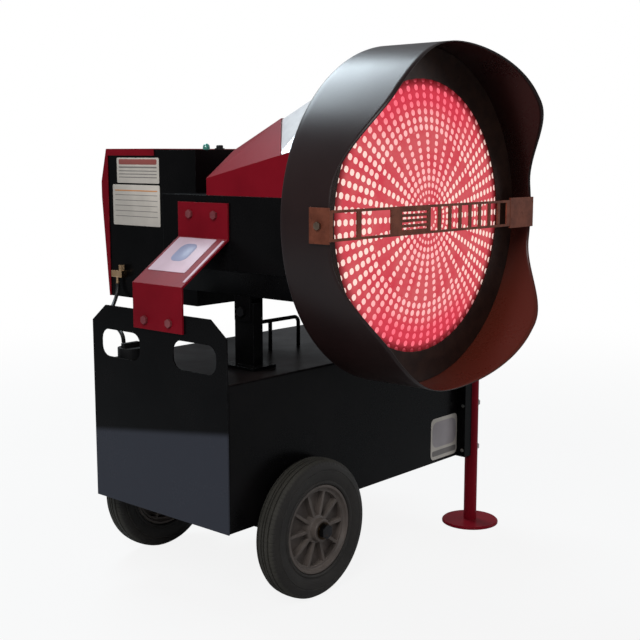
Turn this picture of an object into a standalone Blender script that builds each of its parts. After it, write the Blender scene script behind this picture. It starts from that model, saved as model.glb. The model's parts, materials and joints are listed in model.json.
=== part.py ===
"""Portable oil-fired radiant heater: a fuel tank on two wheels and a leg carries a tilting heater head.

Metres, +Z up. The emission disc faces -Y, the handle plate and the wheels are at -X and the leg at +X.
Places are given in the cart's frame: its origin is on the floor under the middle of the tank.
The whole heater is then moved so that the scene's origin is at the bottom centre of its outer box.
"""

import math

import bmesh
import bpy
from mathutils import Vector

# Fits
GAP = 0.0003
OVERRUN = 0.010
WELD = 0.000001
MERGE = 0.00001
SHEET = 0.002

# Fuel tank
TANK_LENGTH = 0.688
TANK_WIDTH = 0.366
TANK_HEIGHT = 0.265
TANK_EDGE = 0.003
FILLER_INSET_X = 0.044
FILLER_INSET_Y = 0.053
FILLER_RADIUS = 0.019
FILLER_WALL = 0.002
FILLER_HEIGHT = 0.022
SPIGOT_INSET_X = 0.059
SPIGOT_INSET_Y = 0.013
SPIGOT_RADIUS = 0.005
SPIGOT_HEIGHT = 0.025

# Fuel cap
CAP_RADIUS = 0.025
CAP_HEIGHT = 0.034
CAP_WALL = 0.0025
CAP_SKIRT = 0.018
CAP_GRIP_WIDTH = 0.010
CAP_GRIP_LENGTH = 0.038
CAP_GRIP_HEIGHT = 0.009

# Handle plate
HANDLE_PLATE_THICKNESS = 0.003
HANDLE_RISE = 0.110
HANDLE_CLIP_WIDTH = 0.040
HANDLE_CLIP_HEIGHT = 0.031
HAND_HOLE_WIDTH = 0.112
HAND_HOLE_HEIGHT = 0.052
HAND_HOLE_CORNER = 0.020
HAND_HOLE_INSET = 0.082
HAND_HOLE_DROP = 0.071

# Wheels and axle
WHEEL_RADIUS = 0.130
WHEEL_SETBACK = 0.179
TYRE_WIDTH = 0.048
TYRE_SHOULDER = 0.012
TYRE_DEPTH = 0.047
TYRE_GROOVE_DEPTH = 0.003
TYRE_GROOVE_WIDTH = 0.004
WHEEL_SIDE_GAP = 0.005
RIM_WALL = 0.004
RIM_WIDTH = 0.040
RIM_WEB = 0.005
HUB_RADIUS = 0.021
HUB_WIDTH = 0.058
RIB_COUNT = 10
RIB_WIDTH = 0.005
RIB_DEPTH = 0.026
BUSH_WALL = 0.003
BUSH_FLANGE = 0.002
BUSH_FLANGE_RADIUS = 0.016
AXLE_RADIUS = 0.010
AXLE_NUT_RADIUS = 0.014
AXLE_NUT_WIDTH = 0.008
BEAM_WIDTH = 0.050
BEAM_WALL = 0.003
TANK_OVER_AXLE = 0.025
BEAM_BELOW_AXLE = 0.020

# Leg
LEG_REACH = 0.037
LEG_RADIUS = 0.014
LEG_WALL = 0.002
LEG_OVER_PLATE = 0.010
LEG_TRAVEL = 0.015
FOOT_RADIUS = 0.0615
FOOT_THICKNESS = 0.006
FOOT_EDGE = 0.002
LEG_PLATE_THICKNESS = 0.005
LEG_PLATE_HEIGHT = 0.165
LEG_PLATE_WIDTH = 0.100
LEG_SADDLE_WIDTH = 0.014
LEG_BOLT_RADIUS = 0.004
LEG_BOLT_HEAD_RADIUS = 0.0085
LEG_BOLT_HEAD_HEIGHT = 0.006
LEG_BOLT_LOW_RISE = 0.014
LEG_BOLT_SPACING = 0.099

# Posts, pivot bolts and yokes
POST_X = 0.200
TILT_Y = -0.089
TILT_RISE = 0.105
POST_WIDTH = 0.024
POST_DEPTH = 0.048
POST_WALL = 0.003
POST_OVER_TILT = 0.016
POST_BASE_WIDTH = 0.060
POST_BASE_DEPTH = 0.080
POST_BASE_THICKNESS = 0.005
YOKE_WALL = 0.004
YOKE_DEPTH = 0.040
YOKE_DROP = 0.046
YOKE_SIDE_GAP = 0.0006
PIVOT_RADIUS = 0.005
PIVOT_HEAD_RADIUS = 0.010
PIVOT_HEAD_HEIGHT = 0.006

# Cord hook
HOOK_X = -0.0075
HOOK_Y = 0.002
HOOK_SPAN = 0.083
HOOK_HEIGHT = 0.060
HOOK_OVERHANG = 0.022
HOOK_RADIUS = 0.004
HOOK_BEND = 0.012

# Transport bracket
BRACKET_Y = -0.010
BRACKET_WIDTH = 0.133
BRACKET_THICKNESS = 0.004
BRACKET_LAP = 0.033
BRACKET_LOW_RISE = 0.048
BRACKET_TOP_DROP = 0.013
BRACKET_HIGH_HEIGHT = 0.067
BRACKET_BOLT_SPACING = 0.066
BRACKET_BOLT_LOW_DROP = 0.016
BRACKET_BOLT_HIGH_DROP = 0.035
BRACKET_BOLT_RADIUS = 0.004
BRACKET_BOLT_HEAD_RADIUS = 0.008
BRACKET_BOLT_HEAD_HEIGHT = 0.005

# Head: hood, disc and strap
HEAD_RISE = 0.172
HOOD_RADIUS = 0.305
HOOD_REAR_Y = -0.267
HOOD_LOBE_Y = -0.442
HOOD_WAIST_Y = -0.376
HOOD_TOP_Y = -0.414
HOOD_WAIST_ANGLE = math.radians(10)
HOOD_LOBE_ANGLE = math.radians(44)
HOOD_TOP_ANGLE = math.radians(48)
HOOD_STEPS = 64
HOOD_WALL = 0.0015
HOOD_BORE_CLEARANCE = 0.004
DISC_Y = -0.332
DISC_MARGIN = 0.053
DISC_THICKNESS = 0.003
DISC_DOME = 0.016
DISC_DOME_MARGIN = 0.005
DISC_DOME_STEPS = 4
RING_LAP = 0.007
RING_WALL = 0.002
RING_LIP = 0.010
STRAP_HEIGHT = 0.050
STRAP_THICKNESS = 0.0025
STRAP_RAIL = 0.0045
STRAP_WINDOW_SHARES = ((-0.980, -0.783), (-0.747, -0.490))
STRAP_GRILLE_SHARES = (-0.120, 0.692)
STRAP_GRILLE_WINDOWS = 8
STRAP_GRILLE_BAR = 0.0085
STRAP_SLOT_SHARES = (-0.390, -0.150)
STRAP_SLOTS = 4
STRAP_SLOT_HEIGHT = 0.004
STRAP_SLOT_PITCH = 0.009
STRAP_PLATE_SHARE = 0.735
TAB_HEIGHT = 0.058
TAB_STEP = 0.0005
TAB_LENGTH = 0.042
SCREW_RADIUS = 0.003
SCREW_HEAD_RADIUS = 0.007
SCREW_HEAD_HEIGHT = 0.004
SCREW_LENGTH = 0.008

# Head: casing, tray, flared cover and steel collar
CASING_HALF_WIDTH = 0.235
CASING_REAR_Y = 0.104
CASING_DROP = 0.097
CASING_RISE = 0.038
TRAY_TOP_INSET = 0.001
TRAY_BOTTOM_INSET = 0.018
TRAY_REAR_GAP = 0.004
TRAY_OVER_TILT = 0.029
COVER_REAR_Y = -0.018
COVER_STEP_Y = -0.204
COVER_STEP_TOP_Y = -0.128
COVER_SIDE_REAR_RISE = 0.069
COVER_SIDE_FRONT_RISE = 0.125
COVER_TOP_REAR_RISE = 0.119
COVER_TOP_FRONT_RISE = 0.249
COVER_TOP_REAR_INSET = 0.070
COVER_TOP_FRONT_INSET = 0.100
COLLAR_TUCK = 0.014
COLLAR_INSET = 0.0032
COLLAR_SIDE_LIP = 0.012

# Head: burner box and rear cover
BOX_HALF_WIDTH = 0.150
BOX_REAR_Y = 0.375
BOX_DROP = 0.187
BOX_RISE = 0.121
REAR_COVER_DEPTH = 0.022
REAR_COVER_HIGH_RISE = 0.055
REAR_COVER_LOW_RISE = 0.023
REAR_COVER_FOOT_DEPTH = 0.004
REAR_COVER_TOP_LENGTH = 0.150
REAR_COVER_LIP = 0.014
LOUVRE_COUNT = 6
LOUVRE_WIDTH = 0.150
LOUVRE_HEIGHT = 0.005
LOUVRE_PITCH = 0.014
LOUVRE_LOW_RISE = 0.050

# Inside the head
CHAMBER_RADIUS = 0.092
CHAMBER_WALL = 0.002
CHAMBER_REAR_Y = -0.060
CHAMBER_DISH_Y = -0.290
BLAST_RADIUS = 0.034
BLAST_FLANGE_RADIUS = 0.046
BLAST_FLANGE = 0.004
BLAST_FRONT_Y = -0.075
FAN_Y = 0.225
FAN_DROP = 0.032
FAN_RADIUS = 0.062
FAN_WIDTH = 0.048
FAN_BLADES = 12
FAN_BLADE_DEPTH = 0.014
FAN_BLADE_THICKNESS = 0.002
FAN_PLATE = 0.002
FAN_BOSS_RADIUS = 0.010
HOUSING_RADIUS = 0.080
HOUSING_HALF_WIDTH = 0.033
DUCT_HALF_WIDTH = 0.046
DUCT_FRONT_Y = 0.140
INLET_RADIUS = 0.046
SHAFT_RADIUS = 0.004
SHAFT_IN_MOTOR = 0.030
SHAFT_IN_PUMP = 0.012
MOTOR_RADIUS = 0.050
MOTOR_LENGTH = 0.082
MOTOR_FLANGE_RADIUS = 0.058
MOTOR_FLANGE = 0.005
PUMP_LENGTH = 0.040
PUMP_HEIGHT = 0.062
PUMP_DEPTH = 0.052
PUMP_FLANGE_RADIUS = 0.062
PUMP_FLANGE = 0.004
PUMP_STANDOFF = 0.022
PUMP_LEG_RADIUS = 0.004
PUMP_LEG_CIRCLE = 0.056
PUMP_LEGS = 3
TRANSFORMER_WIDTH = 0.070
TRANSFORMER_DEPTH = 0.060
TRANSFORMER_HEIGHT = 0.060
TRANSFORMER_X = -0.095
TRANSFORMER_Y = 0.235
TRANSFORMER_POST_RADIUS = 0.006
TRANSFORMER_POST_HEIGHT = 0.014
NOZZLE_PIPE_RADIUS = 0.006
NOZZLE_REAR_Y = 0.120
NOZZLE_TIP_Y = -0.050
NOZZLE_TIP_RADIUS = 0.009
DIFFUSER_Y = -0.036
DIFFUSER_THICKNESS = 0.002
ELECTRODE_RADIUS = 0.002
ELECTRODE_OFFSET = 0.014

# Controls, on the +X side of the burner box, and fittings
PANEL_WIDTH = 0.150
PANEL_HEIGHT = 0.110
PANEL_THICKNESS = 0.003
PANEL_CORNER = 0.006
PANEL_Y = 0.225
PANEL_DROP = 0.088
KNOB_OFFSET = 0.035
CONTROLS_RISE = 0.020
KNOB_RADIUS = 0.021
KNOB_HEIGHT = 0.018
KNOB_SKIRT_RADIUS = 0.024
KNOB_SKIRT_HEIGHT = 0.003
KNOB_POINTER_WIDTH = 0.004
KNOB_POINTER_HEIGHT = 0.003
KNOB_SHAFT_RADIUS = 0.003
KNOB_SHAFT_LENGTH = 0.010
SWITCH_OFFSET = 0.035
SWITCH_WIDTH = 0.022
SWITCH_HEIGHT = 0.028
SWITCH_FRAME = 0.003
SWITCH_FRAME_DEPTH = 0.004
SWITCH_REST_ANGLE = math.radians(10)
SWITCH_POCKET_REACH = 0.060
INLET_DROP = 0.030
POWER_INLET_WIDTH = 0.046
POWER_INLET_HEIGHT = 0.026
POWER_INLET_DEPTH = 0.014
POWER_INLET_RECESS = 0.010
POWER_INLET_RIM = 0.003
LAMP_X = -0.101
LAMP_Y = 0.125
LAMP_RADIUS = 0.007
LAMP_HEIGHT = 0.012
PLUG_X = -0.055
PLUG_Y = 0.135
PLUG_RADIUS = 0.010
PLUG_RIM = 0.003
PLUG_CROWN_RADIUS = 0.007
PLUG_HEIGHT = 0.009
FITTING_Y = 0.338
FITTING_RISE = 0.050
FITTING_DEPTH = 0.016
FITTING_LENGTH = 0.034
FITTING_HEIGHT = 0.014
FITTING_BARB_RADIUS = 0.0035
FITTING_BARB_LENGTH = 0.014
FITTING_CAP_RADIUS = 0.007
FITTING_CAP_LENGTH = 0.012
HOSE_RADIUS = 0.004

# Values that the sizes above fix
AXLE_Z = WHEEL_RADIUS
TANK_CLEARANCE = AXLE_Z + TANK_OVER_AXLE
TANK_TOP = TANK_CLEARANCE + TANK_HEIGHT
TANK_HALF_LENGTH = TANK_LENGTH / 2
TANK_HALF_WIDTH = TANK_WIDTH / 2
FILLER_X = FILLER_INSET_X - TANK_HALF_LENGTH
FILLER_Y = TANK_HALF_WIDTH - FILLER_INSET_Y
SPIGOT_X = SPIGOT_INSET_X - TANK_HALF_LENGTH
SPIGOT_Y = TANK_HALF_WIDTH - SPIGOT_INSET_Y
HANDLE_X = -(TANK_HALF_LENGTH + GAP + HANDLE_PLATE_THICKNESS)
HANDLE_TOP = TANK_TOP + HANDLE_RISE
HAND_HOLE_Y = TANK_HALF_WIDTH - HAND_HOLE_INSET
HAND_HOLE_Z = HANDLE_TOP - HAND_HOLE_DROP
WHEEL_X = WHEEL_SETBACK - TANK_HALF_LENGTH
WHEEL_Y = TANK_HALF_WIDTH + WHEEL_SIDE_GAP + TYRE_WIDTH / 2
TYRE_BEAD_RADIUS = WHEEL_RADIUS - TYRE_DEPTH
BEAM_DROP = TANK_OVER_AXLE - GAP + BEAM_BELOW_AXLE
BEAM_LENGTH = 2 * (WHEEL_Y - HUB_WIDTH / 2 - 2 * GAP)
AXLE_HALF_LENGTH = WHEEL_Y + HUB_WIDTH / 2 + BUSH_FLANGE + 2 * GAP + AXLE_NUT_WIDTH
LEG_X = TANK_HALF_LENGTH + LEG_REACH
LEG_Y = TANK_HALF_WIDTH + LEG_RADIUS
LEG_PLATE_X = TANK_HALF_LENGTH + GAP + LEG_PLATE_THICKNESS / 2
LEG_PLATE_BOTTOM = TANK_CLEARANCE
LEG_PLATE_TOP = LEG_PLATE_BOTTOM + LEG_PLATE_HEIGHT
LEG_TOP = LEG_PLATE_TOP + LEG_OVER_PLATE
LEG_BOLT_LOW_Z = LEG_PLATE_BOTTOM + LEG_BOLT_LOW_RISE
LEG_BOLT_HIGH_Z = LEG_BOLT_LOW_Z + LEG_BOLT_SPACING
TILT_Z = TANK_TOP + TILT_RISE
POST_TOP = TILT_Z + POST_OVER_TILT
HEAD_Z = TILT_Z + HEAD_RISE
HOOD_BORE = CHAMBER_RADIUS + CHAMBER_WALL + HOOD_BORE_CLEARANCE
DISC_RADIUS = HOOD_RADIUS - DISC_MARGIN
RING_BORE = DISC_RADIUS - RING_LAP
DISC_DOME_RADIUS = RING_BORE - DISC_DOME_MARGIN
STRAP_Y = HOOD_WAIST_Y - GAP - STRAP_THICKNESS / 2
STRAP_GRILLE_START = HOOD_RADIUS * STRAP_GRILLE_SHARES[0]
STRAP_GRILLE_LENGTH = HOOD_RADIUS * (STRAP_GRILLE_SHARES[1] - STRAP_GRILLE_SHARES[0])
CASING_FRONT_Y = HOOD_REAR_Y + GAP
CASING_BOTTOM = HEAD_Z - CASING_DROP
CASING_TOP = HEAD_Z + CASING_RISE
TRAY_BOTTOM = TILT_Z + TRAY_OVER_TILT
TRAY_REAR_Y = CASING_REAR_Y - TRAY_REAR_GAP
YOKE_HALF_WIDTH = POST_WIDTH / 2 + YOKE_SIDE_GAP + YOKE_WALL
YOKE_TOP = TRAY_BOTTOM - GAP
COVER_SIDE_REAR_Z = HEAD_Z + COVER_SIDE_REAR_RISE
COVER_SIDE_FRONT_Z = HEAD_Z + COVER_SIDE_FRONT_RISE
COVER_TOP_REAR_Z = HEAD_Z + COVER_TOP_REAR_RISE
COVER_TOP_FRONT_Z = HEAD_Z + COVER_TOP_FRONT_RISE
COVER_TOP_REAR_HALF = CASING_HALF_WIDTH - COVER_TOP_REAR_INSET
COVER_TOP_FRONT_HALF = CASING_HALF_WIDTH - COVER_TOP_FRONT_INSET
BRACKET_HIGH_X = -(CASING_HALF_WIDTH + GAP + BRACKET_THICKNESS)
BRACKET_LOW_X = HANDLE_X - GAP - BRACKET_THICKNESS
BRACKET_LOW_Z = HANDLE_TOP - BRACKET_LAP
BRACKET_FOLD_LOW_Z = HANDLE_TOP + BRACKET_LOW_RISE
BRACKET_HIGH_Z = CASING_TOP - BRACKET_TOP_DROP
BRACKET_FOLD_HIGH_Z = BRACKET_HIGH_Z - BRACKET_HIGH_HEIGHT
BRACKET_BOLT_LOW_Z = HANDLE_TOP - BRACKET_BOLT_LOW_DROP
BRACKET_BOLT_HIGH_Z = CASING_TOP - BRACKET_BOLT_HIGH_DROP
BOX_FRONT_Y = CASING_REAR_Y + GAP
BOX_BOTTOM = HEAD_Z - BOX_DROP
BOX_TOP = HEAD_Z + BOX_RISE
REAR_COVER_HIGH_Z = HEAD_Z + REAR_COVER_HIGH_RISE
REAR_COVER_LOW_Z = HEAD_Z + REAR_COVER_LOW_RISE
LOUVRE_Z = BOX_BOTTOM + LOUVRE_LOW_RISE
FAN_Z = HEAD_Z - FAN_DROP
PUMP_X = -(HOUSING_HALF_WIDTH + GAP + PUMP_STANDOFF + PUMP_FLANGE)
PANEL_X = BOX_HALF_WIDTH + GAP + PANEL_THICKNESS
PANEL_Z = BOX_TOP - PANEL_DROP
KNOB_Y = PANEL_Y + KNOB_OFFSET
KNOB_Z = PANEL_Z + CONTROLS_RISE
SWITCH_Y = PANEL_Y - SWITCH_OFFSET
SWITCH_Z = PANEL_Z + CONTROLS_RISE
INLET_Z = PANEL_Z - INLET_DROP
FITTING_Z = BOX_BOTTOM + FITTING_RISE
OUTER_LEFT = BRACKET_LOW_X - GAP - BRACKET_BOLT_HEAD_HEIGHT
OUTER_RIGHT = LEG_X + FOOT_RADIUS
OUTER_FRONT = HOOD_LOBE_Y
OUTER_REAR = BOX_REAR_Y + REAR_COVER_DEPTH
MIDDLE = Vector(((OUTER_LEFT + OUTER_RIGHT) / 2, (OUTER_FRONT + OUTER_REAR) / 2, 0))

# Where each moving group turns or slides, in the cart's frame
PIVOTS = {
    "cart": Vector((0, 0, 0)),
    "near_wheel": Vector((WHEEL_X, -WHEEL_Y, AXLE_Z)),
    "far_wheel": Vector((WHEEL_X, WHEEL_Y, AXLE_Z)),
    "front_leg": Vector((LEG_X, -LEG_Y, 0)),
    "rear_leg": Vector((LEG_X, LEG_Y, 0)),
    "cap": Vector((FILLER_X, FILLER_Y, TANK_TOP)),
    "head": Vector((0, TILT_Y, TILT_Z)),
    "fan": Vector((0, FAN_Y, FAN_Z)),
    "knob": Vector((PANEL_X, KNOB_Y, KNOB_Z)),
    "switch": Vector((PANEL_X + GAP, SWITCH_Y, SWITCH_Z)),
}
CARRIED_BY_HEAD = ("fan", "knob", "switch")

# Hose route from the brass fitting down to the tank's spigot
HOSE_ROUTE = (
    (-0.1583, 0.3435, 0.5382),
    (-0.1583, 0.3435, 0.5200),
    (-0.1760, 0.3360, 0.4980),
    (-0.2150, 0.3040, 0.4800),
    (-0.2560, 0.2420, 0.4760),
    (-0.2800, 0.1870, 0.4700),
    (-0.2850, 0.1700, 0.4600),
    (-0.2850, 0.1700, 0.4468),
)
HOSE_STEPS = 5

# Rotations that turn a shape's own Z, or a flat outline's face, to a world axis
TURNED_TO = {
    "x": (0, math.pi / 2, 0),
    "-x": (0, -math.pi / 2, 0),
    "y": (-math.pi / 2, 0, 0),
    "-y": (math.pi / 2, 0, 0),
    "z": (0, 0, 0),
    "-z": (math.pi, 0, 0),
}
FACING = {
    "x": (math.pi / 2, 0, math.pi / 2),
    "y": (math.pi / 2, 0, 0),
    "z": (0, 0, 0),
}

# Colours (linear), roughness and metallic value of each finish
LOOKS = {
    "black_paint": ((0.012, 0.012, 0.014), 0.25, 0.0),
    "gunmetal": ((0.055, 0.060, 0.070), 0.35, 0.6),
    "red_paint": ((0.230, 0.008, 0.014), 0.30, 0.0),
    "bright_steel": ((0.620, 0.620, 0.640), 0.22, 1.0),
    "zinc": ((0.520, 0.520, 0.500), 0.38, 1.0),
    "brass": ((0.560, 0.360, 0.130), 0.32, 1.0),
    "copper_strap": ((0.300, 0.130, 0.060), 0.38, 1.0),
    "glowing_steel": ((0.700, 0.050, 0.090), 0.50, 0.0),
    "tyre_rubber": ((0.020, 0.018, 0.016), 0.80, 0.0),
    "rim_plastic": ((0.110, 0.105, 0.100), 0.50, 0.0),
    "black_plastic": ((0.015, 0.015, 0.016), 0.45, 0.0),
    "hose_rubber": ((0.010, 0.010, 0.010), 0.60, 0.0),
    "lamp_lens": ((0.060, 0.350, 0.280), 0.20, 0.0),
    "heat_steel": ((0.180, 0.150, 0.130), 0.55, 0.8),
    "grey_metal": ((0.180, 0.185, 0.190), 0.45, 0.5),
}

ROUND = 32
SMALL_ROUND = 16
HEX = 6

for old in list(bpy.data.objects):
    bpy.data.objects.remove(old, do_unlink=True)

parts = bpy.data.collections.new("radiant_heater")
cutters = bpy.data.collections.new("cutters")
bpy.context.scene.collection.children.link(parts)
bpy.context.scene.collection.children.link(cutters)


def make_look(name):
    colour, roughness, metallic = LOOKS[name]
    look = bpy.data.materials.new(name)
    look.use_nodes = True
    shader = look.node_tree.nodes["Principled BSDF"]
    shader.inputs["Base Color"].default_value = (*colour, 1)
    shader.inputs["Roughness"].default_value = roughness
    shader.inputs["Metallic"].default_value = metallic
    return look


looks = {name: make_look(name) for name in LOOKS}


def make_pivots():
    """One empty for each group, on its joint's axis. The cart's empty shifts the whole heater."""
    empties = {}
    for name, place in PIVOTS.items():
        empties[name] = bpy.data.objects.new(name + "_pivot", None)
        parts.objects.link(empties[name])
        empties[name].location = place - MIDDLE
    for name, place in PIVOTS.items():
        if name == "cart":
            continue
        carrier = "head" if name in CARRIED_BY_HEAD else "cart"
        empties[name].parent = empties[carrier]
        empties[name].location = place - PIVOTS[carrier]
    return empties


def attach(obj, group, centre, look, turn=(0, 0, 0)):
    """Puts an object into the model: its group, its place in the cart's frame, its turn and its finish."""
    obj.parent = pivots[group]
    obj.location = Vector(centre) - PIVOTS[group]
    obj.rotation_euler = turn
    parts.objects.link(obj)
    if look:
        obj.data.materials.append(looks[look])
    obj.data.shade_smooth()
    obj.data.set_sharp_from_angle(angle=math.radians(35))
    return obj


def object_of(name, bm):
    mesh = bpy.data.meshes.new(name)
    bm.to_mesh(mesh)
    bm.free()
    return bpy.data.objects.new(name, mesh)


def box(name, size, centre, look, group, edge=0.0):
    bm = bmesh.new()
    bmesh.ops.create_cube(bm, size=1.0)
    bmesh.ops.scale(bm, vec=size, verts=bm.verts)
    obj = object_of(name, bm)
    if edge:
        bevel = obj.modifiers.new("edge", "BEVEL")
        bevel.width = edge
        bevel.segments = 2
    return attach(obj, group, centre, look)


def rod(name, radius, length, axis, centre, look, group, sides=ROUND):
    """A round or many-sided bar, centred on its place."""
    bm = bmesh.new()
    bmesh.ops.create_cone(bm, cap_ends=True, segments=sides, radius1=radius, radius2=radius, depth=length)
    return attach(object_of(name, bm), group, centre, look, TURNED_TO[axis])


def signed_area(points):
    closed = zip(points, points[1:] + points[:1])
    return sum(a[0] * b[1] - b[0] * a[1] for a, b in closed) / 2


def turned(name, profile, axis, centre, look, group, steps=ROUND, wall=0.0):
    """A profile of (radius, height) points spun about its axis. With a wall it is an open shell,
    otherwise the profile is closed, either by itself or along the axis."""
    points = list(profile)
    if not wall and signed_area(points) > 0:
        points.reverse()
    bm = bmesh.new()
    corners = [bm.verts.new((radius, 0, height)) for radius, height in points]
    for first, second in zip(corners, corners[1:]):
        bm.edges.new((first, second))
    on_axis = points[0][0] == 0 and points[-1][0] == 0
    if not wall and not on_axis:
        bm.edges.new((corners[-1], corners[0]))
    obj = object_of(name, bm)
    screw = obj.modifiers.new("turn", "SCREW")
    screw.steps = steps
    screw.render_steps = steps
    screw.use_merge_vertices = True
    screw.merge_threshold = MERGE
    if wall:
        shell = obj.modifiers.new("wall", "SOLIDIFY")
        shell.thickness = wall
        shell.offset = 1.0
        shell.use_even_offset = True
    return attach(obj, group, centre, look, TURNED_TO[axis])


def mesh_from_curve(curve, name):
    """The curve's evaluated shape as a closed mesh object, with its loose caps welded on."""
    source = bpy.data.objects.new(name + "_curve", curve)
    bpy.context.scene.collection.objects.link(source)
    graph = bpy.context.evaluated_depsgraph_get()
    mesh = bpy.data.meshes.new_from_object(source.evaluated_get(graph))
    mesh.name = name
    bpy.data.objects.remove(source, do_unlink=True)
    bm = bmesh.new()
    bm.from_mesh(mesh)
    bmesh.ops.remove_doubles(bm, verts=bm.verts, dist=WELD)
    bm.to_mesh(mesh)
    bm.free()
    return bpy.data.objects.new(name, mesh)


def flat(name, outlines, thickness, facing, centre, look, group):
    """A flat piece from closed outlines: the first is its edge and the others are holes."""
    curve = bpy.data.curves.new(name, "CURVE")
    curve.dimensions = "2D"
    curve.fill_mode = "BOTH"
    curve.extrude = thickness / 2
    for outline in outlines:
        spline = curve.splines.new("POLY")
        spline.points.add(len(outline) - 1)
        for point, (across, up) in zip(spline.points, outline):
            point.co = (across, up, 0, 1)
        spline.use_cyclic_u = True
    return attach(mesh_from_curve(curve, name), group, centre, look, FACING[facing])


def tube(name, points, radius, look, group, resolution=2):
    """A round wire or hose along points of the cart's frame, with closed ends."""
    curve = bpy.data.curves.new(name, "CURVE")
    curve.dimensions = "3D"
    curve.bevel_depth = radius
    curve.bevel_resolution = resolution
    curve.use_fill_caps = True
    spline = curve.splines.new("POLY")
    spline.points.add(len(points) - 1)
    for point, place in zip(spline.points, points):
        point.co = (*place, 1)
    return attach(mesh_from_curve(curve, name), group, (0, 0, 0), look)


def sheet(name, rows, wall, look, group, closed=False, end=False, skipped=(), origin=(0, 0, 0)):
    """Bent sheet metal through rows of points, thickened inwards. Skipped holds (bay, strip) pairs
    that are left open, and an end closes the first row with a flat face."""
    bm = bmesh.new()
    grid = [[bm.verts.new(Vector(point) - Vector(origin)) for point in row] for row in rows]
    strips = len(rows[0]) if closed else len(rows[0]) - 1
    for bay, (low, high) in enumerate(zip(grid, grid[1:])):
        for strip in range(strips):
            if (bay, strip) in skipped:
                continue
            after = (strip + 1) % len(low)
            bm.faces.new((low[strip], low[after], high[after], high[strip]))
    if end:
        bm.faces.new(grid[0])
    loose = [vert for vert in bm.verts if not vert.link_faces]
    bmesh.ops.delete(bm, geom=loose, context="VERTS")
    bmesh.ops.recalc_face_normals(bm, faces=bm.faces)
    obj = object_of(name, bm)
    shell = obj.modifiers.new("wall", "SOLIDIFY")
    shell.thickness = wall
    shell.offset = -1.0
    shell.use_even_offset = True
    return attach(obj, group, origin, look)


def helper(obj):
    """Turns a shape into a cutter or a shape to join, which isn't a piece of its own."""
    parts.objects.unlink(obj)
    cutters.objects.link(obj)
    obj.hide_render = True
    obj.display_type = "WIRE"
    return obj


def cut(target, *tools):
    for tool in tools:
        step = target.modifiers.new("cut", "BOOLEAN")
        step.operation = "DIFFERENCE"
        step.object = helper(tool)


def join(target, *tools):
    for tool in tools:
        step = target.modifiers.new("join", "BOOLEAN")
        step.operation = "UNION"
        step.object = helper(tool)


def hole(target, radius, axis, centre, length, sides=SMALL_ROUND):
    group = group_of(target)
    drill = rod(target.name + "_hole", radius, length, axis, centre, None, group, sides)
    cut(target, drill)


def group_of(obj):
    return obj.parent.name.removesuffix("_pivot")


def bolt(name, radius, head_radius, head_height, grip, axis, seat, look, group, nut=True):
    """A hexagon bolt whose head sits on seat and points along axis. A nut closes the far end of its grip."""
    profile = [(0, head_height), (head_radius, head_height), (head_radius, 0), (radius, 0)]
    if nut:
        profile += [(radius, -grip), (head_radius, -grip), (head_radius, -grip - head_height)]
        profile += [(0, -grip - head_height)]
    else:
        profile += [(radius, -grip), (0, -grip)]
    return turned(name, profile, axis, seat, look, group, steps=HEX)


def arc(centre, radius, start, stop, steps):
    """Points along an arc, with angles in degrees."""
    turns = [math.radians(start + (stop - start) * step / steps) for step in range(steps + 1)]
    return [(centre[0] + radius * math.cos(t), centre[1] + radius * math.sin(t)) for t in turns]


def rounded_rectangle(width, height, corner, centre=(0, 0), steps=4):
    across = width / 2 - corner
    up = height / 2 - corner
    points = []
    for start, side, rise in ((0, 1, 1), (90, -1, 1), (180, -1, -1), (270, 1, -1)):
        middle = (centre[0] + side * across, centre[1] + rise * up)
        points += arc(middle, corner, start, start + 90, steps)
    return points


def smooth_route(points, steps):
    """Points of a smooth curve through the given ones."""
    places = [Vector(point) for point in points]
    ends = [places[0], *places, places[-1]]
    route = []
    for before, start, stop, after in zip(ends, ends[1:], ends[2:], ends[3:]):
        for step in range(steps):
            t = step / steps
            bend = (
                start * 2
                + (stop - before) * t
                + (before * 2 - start * 5 + stop * 4 - after) * t ** 2
                + (start * 3 - before - stop * 3 + after) * t ** 3
            )
            route.append(bend / 2)
    return route + [places[-1]]


pivots = make_pivots()


def fuel_tank():
    middle = (0, 0, TANK_CLEARANCE + TANK_HEIGHT / 2)
    tank = box("fuel_tank", (TANK_LENGTH, TANK_WIDTH, TANK_HEIGHT), middle, "black_paint", "cart", TANK_EDGE)
    neck_reach = FILLER_HEIGHT + SHEET
    neck_middle = (FILLER_X, FILLER_Y, TANK_TOP - SHEET + neck_reach / 2)
    join(tank, rod("filler_neck", FILLER_RADIUS, neck_reach, "z", neck_middle, None, "cart"))
    spigot_reach = SPIGOT_HEIGHT + SHEET
    spigot_middle = (SPIGOT_X, SPIGOT_Y, TANK_TOP - SHEET + spigot_reach / 2)
    join(tank, rod("spigot", SPIGOT_RADIUS, spigot_reach, "z", spigot_middle, None, "cart", SMALL_ROUND))
    inside = (TANK_LENGTH - 2 * SHEET, TANK_WIDTH - 2 * SHEET, TANK_HEIGHT - 2 * SHEET)
    bore_middle = (FILLER_X, FILLER_Y, TANK_TOP)
    bore_length = 2 * (FILLER_HEIGHT + OVERRUN)
    cut(tank, box("tank_inside", inside, middle, None, "cart"))
    hole(tank, FILLER_RADIUS - FILLER_WALL, "z", bore_middle, bore_length, ROUND)


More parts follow.
